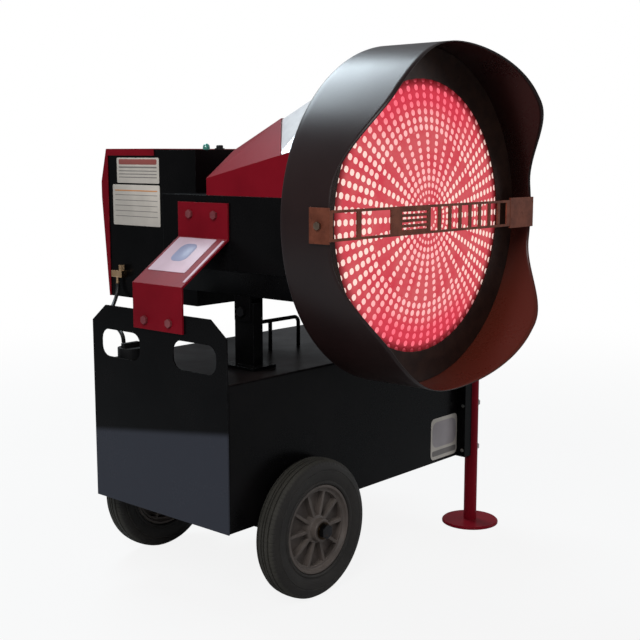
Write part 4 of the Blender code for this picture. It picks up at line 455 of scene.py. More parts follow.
DISC_MOTTLE = (24.0, 3.0, 0.6)
SHEET_GRAIN = (420.0, 2.0, 0.5)
SHEET_GRAIN_HEIGHT = 0.00008
SHEET_GRAIN_STRENGTH = 0.5
# Keeps the disc's centre out of its left and right
CENTRE_AREA = 0.0004
SIDE_SPREAD = (0.15, 0.70)
# Each zone is (where it begins, where it is full), in metres from the disc's axis
OUTER_ZONE = (0.170, 0.212)
SHEET_RIM_ZONE = (0.222, 0.246)
GLOW_RIM_ZONE = (0.234, 0.244)
SHEET_SPREAD = (0.35, 0.7)
SHEET_SKIN = ((0.05, 0.010, 0.010), (0.08, 0.02, 0.018))
SHEET_RED = (0.62, 0.090, 0.105)
SHEET_DEEP_RED = (0.60, 0.045, 0.070)
SHEET_OUTER = (0.63, 0.036, 0.066)
SHEET_RIM = (0.10, 0.001, 0.003)
GLOW_SIDE_SPREAD = (0.2, 0.85)
GLOW_PATCH_SPREAD = (0.45, 0.7)
GLOW_PATCH_SHARE = 0.4
GLOW_SKIN = ((0.10, 0.03, 0.03), (0.14, 0.05, 0.04))
GLOW_PALE = (1.0, 0.52, 0.51)
GLOW_SIDES = (1.0, 0.78, 0.69)
GLOW_PATCHES = (1.0, 0.33, 0.36)
GLOW_OUTER = (1.0, 0.17, 0.23)
GLOW_RIM = (0.20, 0.010, 0.018)


def disc_zones(look):
    """(distance from the disc's axis, share that is 1 at its left and right, share that is 1 in its
    outer zone above and below, a mottle)"""
    x, _, z = look.axes(look.place(location=(-HEAD_X, 0, -HEAD_Z)))
    radius = distance(x, z)
    sideways = (x * x) / (x * x + z * z + CENTRE_AREA)
    outer = radius.above(*OUTER_ZONE) * (1 - sideways.above(*SIDE_SPREAD))
    return radius, sideways, outer, look.cloud(*DISC_MOTTLE)


def glowing_sheet():
    """Red-hot sheet: deeper red above and below, and dark red at its rim."""
    look = Look("glowing_sheet", roughness=0.7, emission_strength=1.0, specular_ior_level=0.2)
    radius, _, outer, mottle = disc_zones(look)
    hot = look.mix(mottle.above(*SHEET_SPREAD), SHEET_RED, SHEET_DEEP_RED)
    hot = look.mix(outer, hot, SHEET_OUTER)
    hot = look.mix(radius.above(*SHEET_RIM_ZONE), hot, SHEET_RIM)
    skin = look.mix(mottle, *SHEET_SKIN)
    normal = look.relief(look.cloud(*SHEET_GRAIN), SHEET_GRAIN_HEIGHT, SHEET_GRAIN_STRENGTH)
    look.skin_from(base_color=skin, emission_color=hot, normal=normal)
    return look.material


def glow_behind():
    """White-hot backing that is seen through the holes, pinker above and below."""
    look = Look("glow_behind", roughness=0.8, emission_strength=1.0, specular_ior_level=0.2)
    radius, sideways, outer, mottle = disc_zones(look)
    hot = look.mix(sideways.above(*GLOW_SIDE_SPREAD), GLOW_PALE, GLOW_SIDES)
    hot = look.mix(mottle.above(*GLOW_PATCH_SPREAD) * GLOW_PATCH_SHARE, hot, GLOW_PATCHES)
    hot = look.mix(outer, hot, GLOW_OUTER)
    hot = look.mix(radius.above(*GLOW_RIM_ZONE) * (1 - sideways), hot, GLOW_RIM)
    skin = look.mix(mottle, *GLOW_SKIN)
    look.skin_from(base_color=skin, emission_color=hot)
    return look.material


glowing_steel = glowing_sheet()
glow_backing = glow_behind()


# Mesh making

AXIS_FRONT = Matrix.Rotation(QUARTER_TURN, 4, "X")
AXIS_REAR = Matrix.Rotation(-QUARTER_TURN, 4, "X")
# Profile of a bevel that is part of a circle
ROUND = 0.5
CORNER_SEGMENTS = 5
RIM_SEGMENTS = 2
PLATE_RIM = 0.0003
SOFT_SEGMENTS = 2
SOFT_LIMIT = math.radians(40)


def mesh_of(name, bm):
    mesh = bpy.data.meshes.new(name)
    bm.to_mesh(mesh)
    bm.free()
    return mesh


def verts_in(geometry):
    return [item for item in geometry if isinstance(item, bmesh.types.BMVert)]


def flat_radius(point):
    """A point's distance from the Z axis."""
    return math.hypot(point.x, point.y)


def spun(profile, steps, closed=False):
    """A profile of (radius, height) points spun about Z."""
    bm = bmesh.new()
    points = [bm.verts.new((radius, 0, height)) for radius, height in profile]
    edges = [bm.edges.new(pair) for pair in zip(points, points[1:])]
    if closed:
        edges.append(bm.edges.new((points[-1], points[0])))
    bmesh.ops.spin(bm, geom=points + edges, cent=(0, 0, 0), axis=(0, 0, 1), dvec=(0, 0, 0),
                   angle=FULL_TURN, steps=steps, use_merge=True, use_duplicate=False)
    bmesh.ops.remove_doubles(bm, verts=bm.verts, dist=MERGE)
    bmesh.ops.recalc_face_normals(bm, faces=bm.faces)
    return bm


def rounded_plate(width, height, thickness, corner, rim=PLATE_RIM):
    """A plate lying on Z = 0 with rounded corners and a softened upper edge."""
    bm = bmesh.new()
    # A grid of this half size is one metre across, so that it can be scaled to its sides
    bmesh.ops.create_grid(bm, x_segments=1, y_segments=1, size=0.5)
    bmesh.ops.scale(bm, vec=(width, height, 1), verts=bm.verts)
    bmesh.ops.bevel(bm, geom=list(bm.verts), offset=corner, offset_type="OFFSET", affect="VERTICES",
                    segments=CORNER_SEGMENTS, profile=ROUND, material=-1)
    grown = bmesh.ops.extrude_face_region(bm, geom=list(bm.faces))["geom"]
    bmesh.ops.translate(bm, vec=(0, 0, thickness), verts=verts_in(grown))
    bmesh.ops.recalc_face_normals(bm, faces=bm.faces)
    upper = [edge for edge in bm.edges if all(vert.co.z > thickness / 2 for vert in edge.verts)]
    bmesh.ops.bevel(bm, geom=upper, offset=rim, offset_type="OFFSET", affect="EDGES",
                    segments=RIM_SEGMENTS, profile=ROUND, material=-1)
    return bm


def piece(name, bm, finishes, body, matrix):
    """Makes an object of a mesh, in place, that rides on a body."""
    bmesh.ops.transform(bm, matrix=matrix, verts=bm.verts)
    mesh = mesh_of(name, bm)
    obj = linked(name, mesh)
    for material in finishes:
        mesh.materials.append(material)
    mesh.shade_smooth()
    mesh.set_sharp_from_angle(angle=SHARP_ANGLE)
    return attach(obj, body)


def thickened(obj, thickness):
    """Gives a sheet its thickness behind its face."""
    solid = obj.modifiers.new("wall", "SOLIDIFY")
    solid.thickness = thickness
    solid.offset = -1.0
    solid.use_even_offset = True


def softened(obj, width):
    bevel = obj.modifiers.new("soft_edges", "BEVEL")
    bevel.width = width
    bevel.segments = SOFT_SEGMENTS
    bevel.limit_method = "ANGLE"
    bevel.angle_limit = SOFT_LIMIT
    bevel.harden_normals = True


def facing(centre, across, up):
    """Matrix that puts a plate's X along across, its Y along up and its thickness outwards."""
    x = Vector(across).normalized()
    y = Vector(up).normalized()
    z = x.cross(y)
    turn = Matrix((x, y, z)).transposed().to_4x4()
    return Matrix.Translation(centre) @ turn


# Fuel hose

# From the brass fitting on the head down to the tank
HOSE_ROUTE = (
    (-0.2011, 0.3660, 0.5382),
    (-0.2011, 0.3660, 0.5200),
    (-0.2188, 0.3585, 0.4980),
    (-0.2578, 0.3265, 0.4800),
    (-0.2988, 0.2645, 0.4760),
    (-0.3228, 0.2095, 0.4700),
    (-0.3278, 0.1925, 0.4600),
    (-0.3278, 0.1925, 0.4468),
)
HOSE_RADIUS = 0.004
HOSE_ORDER = 4
HOSE_STEPS = 10
HOSE_ROUNDNESS = 6


def fuel_hose():
    """Hose between the head's fitting and the tank."""
    curve = bpy.data.curves.new("fuel_line", "CURVE")
    curve.dimensions = "3D"
    spline = curve.splines.new("NURBS")
    spline.points.add(len(HOSE_ROUTE) - 1)
    for point, place in zip(spline.points, HOSE_ROUTE):
        point.co = place + (1.0,)
    spline.order_u = HOSE_ORDER
    spline.use_endpoint_u = True
    curve.resolution_u = HOSE_STEPS
    curve.bevel_depth = HOSE_RADIUS
    curve.bevel_resolution = HOSE_ROUNDNESS
    curve.use_fill_caps = True
    drawn = linked("fuel_line_curve", curve)
    bpy.context.view_layer.update()
    mesh = bpy.data.meshes.new_from_object(drawn.evaluated_get(bpy.context.evaluated_depsgraph_get()))
    bpy.data.objects.remove(drawn)
    hose = linked("fuel_line", mesh)
    mesh.materials.clear()
    mesh.materials.append(hose_rubber)
    mesh.shade_smooth()
    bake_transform(hose)
    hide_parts("fuel_hose")


fuel_hose()


# Hood

HOOD_STEPS = 192
HOOD_ROWS = 16
HOOD_WALL = 0.0015
HOOD_FOLD = 0.005
FOLD_STEPS = 4
HOOD_BORE = 0.100
# The front edge stands this much short of its full reach
HOOD_EDGE_GAP = 0.0001
WAIST_INSET = 0.066
TOP_INSET = 0.028
WAIST_ANGLE = math.radians(10)
LOBE_ANGLE = math.radians(44)
TOP_ANGLE = math.radians(48)


def eased(value, start, end):
    """0 before start and 1 after end, with a smooth step between them."""
    share = min(max((value - start) / (end - start), 0), 1)
    return share * share * (3 - 2 * share)


def hood_reach(angle):
    """How far the hood's front edge stands in front of its rear: least at its waist on both sides,
    most in its four lobes, and a little less again at its top and bottom."""
    from_side = math.atan2(abs(math.sin(angle)), abs(math.cos(angle)))
    waist = 1 - eased(from_side, WAIST_ANGLE, LOBE_ANGLE)
    top = eased(from_side, TOP_ANGLE, QUARTER_TURN)
    return hood_high.y - hood_low.y - WAIST_INSET * waist - TOP_INSET * top


def hood():
    """Wavy-edged round hood: a back plate with a bore, a folded corner and a wall."""
    arc = [QUARTER_TURN * step / FOLD_STEPS for step in range(FOLD_STEPS + 1)]
    profile = [(HOOD_BORE, 0), ((HOOD_BORE + HOOD_RADIUS) / 2, 0)]
    profile += [(HOOD_RADIUS - HOOD_FOLD * (1 - math.sin(angle)), HOOD_FOLD * (1 - math.cos(angle)))
                for angle in arc]
    profile += [(HOOD_RADIUS, HOOD_FOLD + (row + 1) / HOOD_ROWS) for row in range(HOOD_ROWS)]
    bm = spun(profile, HOOD_STEPS)
    # The wall is spun one metre deep, so each point's depth in it is its share of the real depth
    for vert in bm.verts:
        depth_share = vert.co.z - HOOD_FOLD
        if depth_share > 0.5 / HOOD_ROWS:
            reach = hood_reach(math.atan2(vert.co.y, vert.co.x)) - HOOD_FOLD
            vert.co.z = HOOD_FOLD + depth_share * (reach - HOOD_EDGE_GAP)
    matrix = Matrix.Translation((HEAD_X, hood_high.y, HEAD_Z)) @ AXIS_FRONT
    shell = piece("hood_shell", bm, [hood_enamel, hood_lining], "head", matrix)
    if shell.data.polygons[0].normal.y < 0:
        shell.data.flip_normals()
    thickened(shell, HOOD_WALL)
    shell.modifiers["wall"].material_offset = 1
    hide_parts("hood")


hood()


# Emission disc

disc_low, disc_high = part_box("emission_disc")
DISC_RADIUS = (disc_high.x - disc_low.x) / 2
DISC_THICKNESS = 0.0012
DISC_DOME = 0.016
DOME_RADIUS = 0.240
DISC_FACE_Y = disc_low.y + DISC_DOME
HOLE_SIDES_PER_EDGE = 3
HOLE_INSET = 0.0012
# A hole's radius is at most this share of the distance to the next row
HOLE_SHARE = 0.42
# (rows of holes, radii of the holes' rings, hole radius), from the rim inwards
HOLE_BANDS = (
    (64, (0.244, 0.230, 0.216, 0.202, 0.188, 0.174, 0.160), 0.0059),
    (32, (0.147, 0.134, 0.121, 0.109, 0.096, 0.083, 0.071, 0.058, 0.045), 0.0055),
    (16, (0.033, 0.021), 0.0043),
)
CENTRE_HOLE = 0.0035
# A band's own edges are longer than this, and the edges round its holes are shorter
SEAM_EDGE = 0.006
# Edges over this share of the seam's longest belong to the band with fewer rows
COARSE_SHARE = 0.75
SEAM_MERGE = 0.0001
BACKING_INSET = 0.004
BACKING_GAP = 0.0028
BACKING_RINGS = 8
BACKING_STEPS = 96


def dome_height(radius):
    share = min(1.0, radius / DOME_RADIUS)
    return DISC_DOME * (1 - share * share)


def band_edges():
    """Radii between the rings of holes, from the disc's rim inwards, one list for each band."""
    rings = [ring for _, radii, _ in HOLE_BANDS for ring in radii]
    between = [(first + second) / 2 for first, second in zip(rings, rings[1:])]
    outer = rings[0] + (rings[0] - rings[1]) / 2
    inner = rings[-1] - (rings[-2] - rings[-1]) / 2
    radii = [outer] + between + [inner]
    edges, start = [], 0
    for _, band_rings, _ in HOLE_BANDS:
        edges.append(radii[start:start + len(band_rings) + 1])
        start += len(band_rings)
    return edges


def flat_rings(radii, rows):
    """Flat rings of sheet in cells, with the cells' middles on the rows of holes."""
    bm = spun([(radius, 0) for radius in radii], rows)
    half_cell = Matrix.Rotation(FULL_TURN / rows / 2, 4, "Z")
    bmesh.ops.transform(bm, matrix=half_cell, verts=bm.verts)
    return bm


def pierced_band(rows, hole_radius, radii):
    """One ring-shaped band of sheet with rows of round holes, a hole in each cell of its grid."""
    bm = flat_rings(radii, rows)
    cells = list(bm.faces)
    bmesh.ops.inset_individual(bm, faces=cells, thickness=HOLE_INSET)
    rims = [edge for cell in cells for edge in cell.edges]
    bmesh.ops.delete(bm, geom=cells, context="FACES_ONLY")
    bmesh.ops.subdivide_edges(bm, edges=rims, cuts=HOLE_SIDES_PER_EDGE - 1)
    pitch = FULL_TURN / rows
    for vert in bm.verts:
        to_band_edge = min(abs(vert.co.length - radii[0]), abs(vert.co.length - radii[-1]))
        if vert.is_boundary and to_band_edge >= MERGE:
            row = round(math.atan2(vert.co.y, vert.co.x) / pitch)
            outward = Vector((math.cos(row * pitch), math.sin(row * pitch), 0))
            along = vert.co.dot(outward) / math.cos(pitch / 2)
            outer, inner = [pair for pair in zip(radii, radii[1:]) if pair[0] > along > pair[1]][0]
            ring_radius = (outer + inner) / 2
            middle = outward * ring_radius
            size = min(hole_radius, HOLE_SHARE * pitch * ring_radius)
            vert.co = middle + (vert.co - middle).normalized() * size
    return bm


def joined(parts):
    """Several bmeshes in one."""
    whole = bmesh.new()
    for part in parts:
        mesh = mesh_of("part", part)
        whole.from_mesh(mesh)
        bpy.data.meshes.remove(mesh)
    return whole


def split_seam(bm, radius):
    """Halves the longer edges where two bands meet, so that both have the same points there."""
    seam = [edge for edge in bm.edges if edge.is_boundary and edge.calc_length() > SEAM_EDGE
            and all(abs(flat_radius(vert.co) - radius) < MERGE for vert in edge.verts)]
    longest = max(edge.calc_length() for edge in seam)
    coarse = [edge for edge in seam if edge.calc_length() > COARSE_SHARE * longest]
    split = bmesh.ops.subdivide_edges(bm, edges=coarse, cuts=1)["geom_inner"]
    for vert in verts_in(split):
        vert.co = vert.co.normalized() * radius


def emission_disc():
    """Domed sheet with its rows of holes, and the hot backing behind it."""
    edges = band_edges()
    parts = [pierced_band(rows, hole_radius, radii)
             for (rows, _, hole_radius), radii in zip(HOLE_BANDS, edges)]
    parts.append(flat_rings([DISC_RADIUS, edges[0][0]], HOLE_BANDS[0][0]))
    parts.append(flat_rings([edges[-1][-1], CENTRE_HOLE], HOLE_BANDS[-1][0]))
    bm = joined(parts)
    for radii in edges[1:]:
        split_seam(bm, radii[0])
    bmesh.ops.remove_doubles(bm, verts=bm.verts, dist=SEAM_MERGE)
    for vert in bm.verts:
        vert.co.z = dome_height(flat_radius(vert.co))
    bmesh.ops.recalc_face_normals(bm, faces=bm.faces)
    if sum(face.normal.z for face in bm.faces) < 0:
        bmesh.ops.reverse_faces(bm, faces=bm.faces)
    matrix = Matrix.Translation((HEAD_X, DISC_FACE_Y, HEAD_Z)) @ AXIS_FRONT
    sheet = piece("pierced_disc", bm, [glowing_steel], "head", matrix)
    thickened(sheet, DISC_THICKNESS)
    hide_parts("emission_disc")

    radii = [DOME_RADIUS * ring / BACKING_RINGS for ring in range(BACKING_RINGS, -1, -1)]
    radii.insert(0, DISC_RADIUS - BACKING_INSET)
    backing = spun([(radius, dome_height(radius) - BACKING_GAP) for radius in radii], BACKING_STEPS)
    piece("disc_backing", backing, [glow_backing], "head", matrix)


emission_disc()


# Wheels

wheel_low, wheel_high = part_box("near_tyre")
WHEEL_X = (wheel_low.x + wheel_high.x) / 2
WHEEL_Z = (wheel_low.z + wheel_high.z) / 2
TYRE_STEPS = 120
RIM_RIBS = 10
RIB_STEPS = 6
RIB_HALF_WIDTH = 0.0030
# Nearer to the axis than this, a rib's angle grows no more
RIB_ROOT = 0.012
RIM_EDGE = 0.0007
POCKET_START = 0.026
POCKET_END = 0.070
POCKET_DEPTH = 0.012
POCKET_MARGIN = 0.001
# Only faces above this height are on the rim's side
RIM_SIDE_HEIGHT = 0.011
# The floor of a pocket starts this much farther out than its mouth
POCKET_DRAFT = 1.05
# Half of the tyre's outline, (radius, height), from its bead out to the middle of its tread
TYRE_OUTLINE = (
    (0.0832, 0.0165), (0.0840, 0.0205), (0.0862, 0.0222), (0.0885, 0.0222), (0.0900, 0.0208),
    (0.0925, 0.0212), (0.0965, 0.0226), (0.1030, 0.0236), (0.1095, 0.0240), (0.1100, 0.0232),
    (0.1108, 0.0232), (0.1113, 0.0239), (0.1165, 0.0232), (0.1200, 0.0220), (0.1235, 0.0205),
    (0.1262, 0.0180), (0.1280, 0.0150), (0.1288, 0.0136), (0.1262, 0.0132), (0.1262, 0.0108),
    (0.1293, 0.0104), (0.1298, 0.0065), (0.1298, 0.0045), (0.1268, 0.0041), (0.1268, 0.0017),
    (0.1300, 0.0013), (0.1300, 0.0),
)
# Half of the rim's outline, from its bore out to its middle
RIM_OUTLINE = (
    (0.0140, 0.0), (0.0140, 0.0280), (0.0150, 0.0286), (0.0200, 0.0286), (0.0210, 0.0276),
    (0.0218, 0.0165), (0.0240, 0.0150), (POCKET_START, 0.0146), (0.0370, 0.0140), (0.0530, 0.0132),
    (POCKET_END, 0.0126), (0.0740, 0.0126), (0.0762, 0.0150), (0.0775, 0.0192), (0.0800, 0.0200),
    (0.0826, 0.0196), (0.0830, 0.0180), (0.0830, 0.0),
)
TREAD_GRIT = (600.0, 3.0, 0.6)
TREAD_CLOUD = (18.0, 4.0, 0.65)
TREAD_SPREAD = (0.3, 0.7)
TREAD_RUBBER = ((0.0125, 0.0105, 0.0092), (0.0185, 0.0160, 0.0138))
TREAD_ROUGHNESS = (0.52, 0.68)
TREAD_DUST = (0.046, 0.043, 0.034)
TREAD_DUST_SHARE = 0.35
TREAD_DUST_CLOUD_SHARE = 0.5
TREAD_DUST_ROUGH = 0.15
RUBBED_RUBBER = (0.075, 0.068, 0.058)
RUBBED_SPREAD = (0.35, 0.65)
RUBBED_SHARE = 0.4
TREAD_EDGE = 0.0012
TREAD_HEIGHT = 0.0007
TREAD_STRENGTH = 0.8
GRIT_SHARE = 0.25
RING_SHARE = 0.12
# Cross cuts in the whole round of the tyre
CUTS = 96.0
CUT_SPREAD = (0.55, 0.9)
# The wall's rings, in radians to a metre
RINGS = 2300.0
# Each zone is (where it begins, where it is full), in metres from the axle
TREAD_ZONE = (0.1225, 0.1275)
SHOULDER_ZONE = (0.119, 0.1225)
WALL_START = (0.090, 0.094)
WALL_END = (0.105, 0.109)


def tyre(side, matrix):
    profile = list(TYRE_OUTLINE) + [(radius, -height) for radius, height in reversed(TYRE_OUTLINE[:-1])]
    bm = spun(profile, TYRE_STEPS, closed=True)
    tyre_piece = piece(side + "_tyre_cover", bm, [tyre_tread], side + "_wheel", matrix)
    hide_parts(side + "_tyre")


def rib_half_angle(radius):
    return math.asin(RIB_HALF_WIDTH / max(radius, RIB_ROOT))


def rim(side, matrix):
    """Moulded rim with a ring of pockets between its ribs, the same on both sides."""
    steps = RIM_RIBS * RIB_STEPS
    bm = spun(RIM_OUTLINE, steps)
    pitch = FULL_TURN / RIM_RIBS
    # Each rib takes one step of the spin, and the pocket beside it takes the others
    for vert in bm.verts:
        radius = flat_radius(vert.co)
        index = round(math.atan2(vert.co.y, vert.co.x) / (FULL_TURN / steps)) % steps
        rib, step = divmod(index, RIB_STEPS)
        half = rib_half_angle(radius)
        pocket = [half + (pitch - 2 * half) * part / (RIB_STEPS - 1) for part in range(RIB_STEPS - 1)]
        angle = rib * pitch + ([-half] + pocket)[step]
        vert.co.x = radius * math.cos(angle)
        vert.co.y = radius * math.sin(angle)
    pocket_faces = []
    for face in bm.faces:
        centre = face.calc_center_median()
        radius = flat_radius(centre)
        angle = math.atan2(centre.y, centre.x) % pitch
        half = rib_half_angle(radius)
        in_ring = POCKET_START < radius < POCKET_END - POCKET_MARGIN
        if in_ring and centre.z > RIM_SIDE_HEIGHT and half < angle < pitch - half:
            pocket_faces.append(face)
    floor = verts_in(bmesh.ops.extrude_face_region(bm, geom=pocket_faces)["geom"])
    bmesh.ops.translate(bm, vec=(0, 0, -POCKET_DEPTH), verts=floor)
    doomed = [face for face in pocket_faces if face.is_valid]
    bmesh.ops.delete(bm, geom=doomed, context="FACES")
    for vert in floor:
        if flat_radius(vert.co) < POCKET_START + POCKET_MARGIN:
            vert.co.x *= POCKET_DRAFT
            vert.co.y *= POCKET_DRAFT
    half_rim = list(bm.verts) + list(bm.edges) + list(bm.faces)
    bmesh.ops.mirror(bm, geom=half_rim, axis="Z", merge_dist=MERGE)
    bmesh.ops.remove_doubles(bm, verts=bm.verts, dist=MERGE)
    bmesh.ops.recalc_face_normals(bm, faces=bm.faces)
    rim_piece = piece(side + "_wheel_rim", bm, [rim_plastic], side + "_wheel", matrix)
    softened(rim_piece, RIM_EDGE)
    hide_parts(side + "_rim")


def tread_rubber():
    """Tyre rubber with dusty tread, moulded rings on its walls and fine cross cuts on its shoulders."""
    look = Look("tyre_tread", specular_ior_level=0.35)
    x, _, z = look.axes(look.place(location=(-WHEEL_X, 0, -WHEEL_Z)))
    radius = distance(x, z)
    angle = z.maths("ARCTAN2", x)
    edge, rounded = look.edges(TREAD_EDGE)
    grit = look.cloud(*TREAD_GRIT)
    broad = look.cloud(*TREAD_CLOUD)
    on_tread = radius.above(*TREAD_ZONE)
    cuts = (angle * CUTS).maths("SINE").above(*CUT_SPREAD) * radius.above(*SHOULDER_ZONE)
    on_wall = (1 - radius.above(*WALL_END)) * radius.above(*WALL_START)
    rings = (radius * RINGS).maths("SINE") * on_wall
    tone = look.mix(broad.above(*TREAD_SPREAD), *TREAD_RUBBER)
    dusty = on_tread * (broad * TREAD_DUST_CLOUD_SHARE + TREAD_DUST_SHARE)
    tone = look.mix(dusty, tone, TREAD_DUST)
    tone = look.mix(edge * broad.above(*RUBBED_SPREAD) * RUBBED_SHARE, tone, RUBBED_RUBBER)
    roughness = grit.scaled(*TREAD_ROUGHNESS) + on_tread * TREAD_DUST_ROUGH
    height = grit * GRIT_SHARE - cuts + rings * RING_SHARE
    normal = look.relief(height, TREAD_HEIGHT, TREAD_STRENGTH, rounded)
    look.skin_from(base_color=tone, roughness=roughness, normal=normal)
    return look.material


tyre_tread = tread_rubber()
for wheel_side, turn in (("near", AXIS_FRONT), ("far", AXIS_REAR)):
    tyre_low, tyre_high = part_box(wheel_side + "_tyre")
    hub = Matrix.Translation((WHEEL_X, (tyre_low.y + tyre_high.y) / 2, WHEEL_Z)) @ turn
    tyre(wheel_side, hub)
    rim(wheel_side, hub)


# Bare plates

PLATE_THICKNESS = 0.0006
BAND_THICKNESS = 0.0002
BAND_RIM = 0.00008
BAND_CORNER_SHARE = 0.3
BAND_WIDTH_SHARE = 0.9
box_low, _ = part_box("burner_box")
tank_low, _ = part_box("fuel_tank")
RIGHTWARDS = (1, 0, 0)
FRONTWARDS = (0, -1, 0)
SLOPE_FOOT = Vector((-0.3944, 0.0125, 0.5801))
SLOPE_HEAD = Vector((-0.2821, 0.0125, 0.6571))
SLOPE_UP = SLOPE_HEAD - SLOPE_FOOT
SLOPE_LIFT = 0.0002


def band(place, height, finish, width_share=BAND_WIDTH_SHARE):
    """A plain band on a plate: its place up the plate, its height, its finish and its share of the
    plate's width."""
    return place, height, finish, width_share


def bare_plate(name, finish, body, centre, across, up, size, corner, bands=()):
    """A plate without any print, and the plain coloured bands on it."""
    matrix = facing(centre, across, up)
    plate = rounded_plate(*size, PLATE_THICKNESS, corner)
    piece(name, plate, [finish], body, matrix)
    for number, (place, height, band_finish, width_share) in enumerate(bands, 1):
        strip = rounded_plate(size[0] * width_share, height, BAND_THICKNESS, height * BAND_CORNER_SHARE,
                              BAND_RIM)
        bmesh.ops.translate(strip, vec=(0, place, PLATE_THICKNESS), verts=strip.verts)
        piece("%s_band_%d" % (name, number), strip, [band_finish], body, matrix)


def on_slope(up_share, aside):
    """A point on the transport bracket's slope: its share of the way up, and its place across."""
    normal = Vector((-SLOPE_UP.z, 0, SLOPE_UP.x)).normalized()
    return SLOPE_FOOT + SLOPE_UP * up_share + normal * SLOPE_LIFT + Vector((0, aside, 0))


bare_plate("upper_side_plate", pale_plate, "head", centre=(box_low.x, 0.3020, 0.7760),
           across=FRONTWARDS, up=UP, size=(0.134, 0.052), corner=0.003,
           bands=[band(0.0175, 0.0110, band_red), band(0.0065, 0.0030, line_grey)]
           + [band(place, 0.0018, line_grey) for place in (-0.0010, -0.0075, -0.0140)])
bare_plate("lower_side_plate", pale_plate, "head", centre=(box_low.x, 0.3090, 0.7045),
           across=FRONTWARDS, up=UP, size=(0.150, 0.084), corner=0.003,
           bands=[band(0.0300, 0.0024, band_orange)]
           + [band(place, 0.0012, line_grey) for place in (0.0210, 0.0100, -0.0010, -0.0120, -0.0230)])
bare_plate("slope_plate", pink_plate, "cart", centre=on_slope(0.625, 0.0090),
           across=FRONTWARDS, up=SLOPE_UP, size=(0.101, 0.0965), corner=0.003,
           bands=[band(0.0060, 0.0500, haze_blue, 0.42)])
bare_plate("slope_edge_strip", pink_plate, "cart", centre=on_slope(0.53, -0.0605),
           across=FRONTWARDS, up=SLOPE_UP, size=(0.006, 0.118), corner=0.001)
bare_plate("tank_plate", pale_plate, "cart", centre=(0.2525, tank_low.y, 0.2075),
           across=RIGHTWARDS, up=UP, size=(0.096, 0.090), corner=0.011,
           bands=[band(0.0090, 0.0560, grey_plate), band(-0.0315, 0.0120, line_grey)])


# Finishes of the pieces that keep their CAD shape

FINISH_OF_SLOT = {
    "black_paint": black_enamel,
    "gunmetal": hood_enamel,
    "red_paint": red_enamel,
    "bright_steel": bright_steel,
    "zinc": zinc_plate,
    "brass": brass,
    "copper_strap": strap_steel,
    "glowing_steel": glowing_steel,
    "tyre_rubber": tyre_rubber,
    "rim_plastic": rim_plastic,
    "black_plastic": black_plastic,
    "hose_rubber": hose_rubber,
    "lamp_lens": lamp_lens,
    "heat_steel": heat_steel,
    "grey_metal": cast_grey,
}
# Where a piece looks other than its slot's usual finish
FINISH_OF_NODE = {
    "fuel_tank": tank_enamel,
    "handle_plate": plate_enamel,
    "axle": dark_steel,
    "axle_nut_near": dark_steel,
    "axle_nut_far": dark_steel,
    "near_bush": aged_bronze,
    "far_bush": aged_bronze,
    "bracket_bolt_lower_front": red_reflection_bolt,
    "bracket_bolt_lower_rear": red_reflection_bolt,
    "bracket_bolt_upper_front": red_reflection_bolt,
    "bracket_bolt_upper_rear": red_reflection_bolt,
    "pivot_bolt_left": dark_steel,
    "pivot_bolt_right": dark_steel,
    "strap_screw_left": aged_zinc,
    "strap_screw_right": aged_zinc,
    "front_leg_bracket": black_enamel,
    "rear_leg_bracket": black_enamel,
}


def dress_nodes():
    for part in frame["record"]["subparts"]:
        name = part["node"]
        finish = FINISH_OF_NODE.get(name, FINISH_OF_SLOT[part["material_slot"]])
        node = nodes[name]
        for place in node.material_slots:
            place.material = finish
        if not node.material_slots:
            node.data.materials.append(finish)


dress_nodes()


# Studio

WHITE = (1, 1, 1, 1)
SKY = (0.93, 0.96, 1.0, 1)
SKY_STRENGTH = 0.27
FLOOR_RADIUS = 9.0
FLOOR_RING_SHARES = (1.0, 0.4, 0.15, 0.0)
FLOOR_STEPS = 64
FLOOR_CLOUD = (2.0, 2.0, 0.5)
FLOOR_TONES = (0.50, 0.54)
# Share of the floor that the camera sees as plain white, near the object
FLOOR_SHARE = 0.88
# Where the floor begins to fade to plain white, and where it has
FLOOR_FADE = (1.0, 3.4)


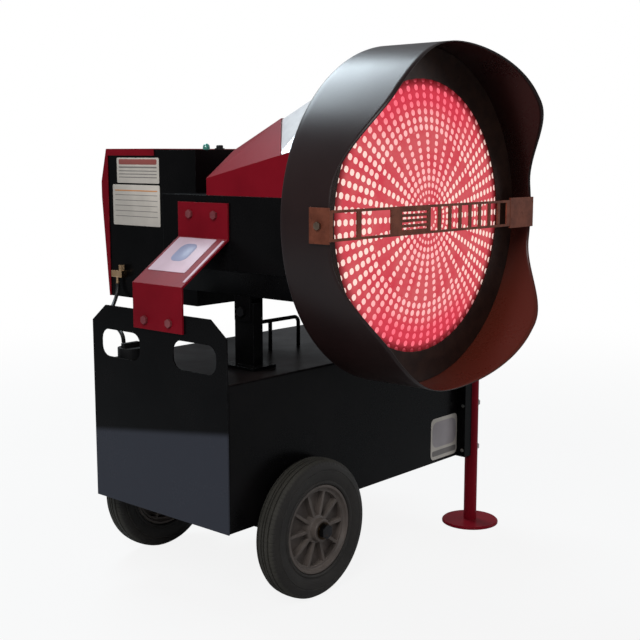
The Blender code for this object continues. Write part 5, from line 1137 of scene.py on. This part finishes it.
def studio_floor():
    """Pale floor that fades to plain white all round."""
    bm = spun([(FLOOR_RADIUS * share, 0) for share in FLOOR_RING_SHARES], FLOOR_STEPS)
    mesh = mesh_of("studio_floor", bm)
    floor = linked("studio_floor", mesh)
    look = Look("studio_floor", roughness=0.9)
    ray = look.node("ShaderNodeLightPath", output="Is Camera Ray")
    x, y, _ = look.axes(look.place())
    far = distance(x, y).above(*FLOOR_FADE)
    tone = look.cloud(*FLOOR_CLOUD).scaled(*FLOOR_TONES)
    look.skin_from(base_color=look.node("ShaderNodeCombineXYZ", {}, {0: tone, 1: tone, 2: tone}))
    white = look.node("ShaderNodeEmission", {}, {"Color": WHITE, "Strength": 1.0})
    share = ray * (far * (1 - FLOOR_SHARE) + FLOOR_SHARE)
    look.show(look.node("ShaderNodeMixShader", {}, {0: share, 1: look.skin, 2: white}))
    mesh.materials.append(look.material)


def studio_world():
    """White behind everything that the camera sees, and a soft sky on the object."""
    world = bpy.data.worlds.new("studio")
    bpy.context.scene.world = world
    tree = Tree(world, "ShaderNodeOutputWorld")
    ray = tree.node("ShaderNodeLightPath", output="Is Camera Ray")
    seen = tree.node("ShaderNodeBackground", {}, {"Color": WHITE})
    sky = tree.node("ShaderNodeBackground", {}, {"Color": SKY, "Strength": SKY_STRENGTH})
    tree.show(tree.node("ShaderNodeMixShader", {}, {0: ray, 1: sky, 2: seen}))


def soft_lamp(name, place, target, size, power, colour=(1, 1, 1)):
    data = bpy.data.lights.new(name, "AREA")
    data.shape = "RECTANGLE"
    data.size, data.size_y = size
    data.energy = power
    data.color = colour
    lamp = linked(name, data)
    lamp.location = place
    lamp.rotation_euler = (Vector(target) - Vector(place)).to_track_quat("-Z", "Y").to_euler()


studio_floor()
studio_world()
soft_lamp("key_lamp", place=(-2.6, -1.4, 2.6), target=(0, 0, 0.5), size=(1.6, 1.6), power=64.0)
soft_lamp("back_lamp", place=(0.4, 2.3, 3.4), target=(0, -0.2, 0.8), size=(2.4, 0.8), power=112.0,
          colour=(0.80, 0.92, 1.0))
soft_lamp("fill_lamp", place=(2.6, -2.2, 1.6), target=(0, 0, 0.5), size=(1.6, 1.6), power=20.0)
bpy.context.scene.view_settings.view_transform = "Standard"
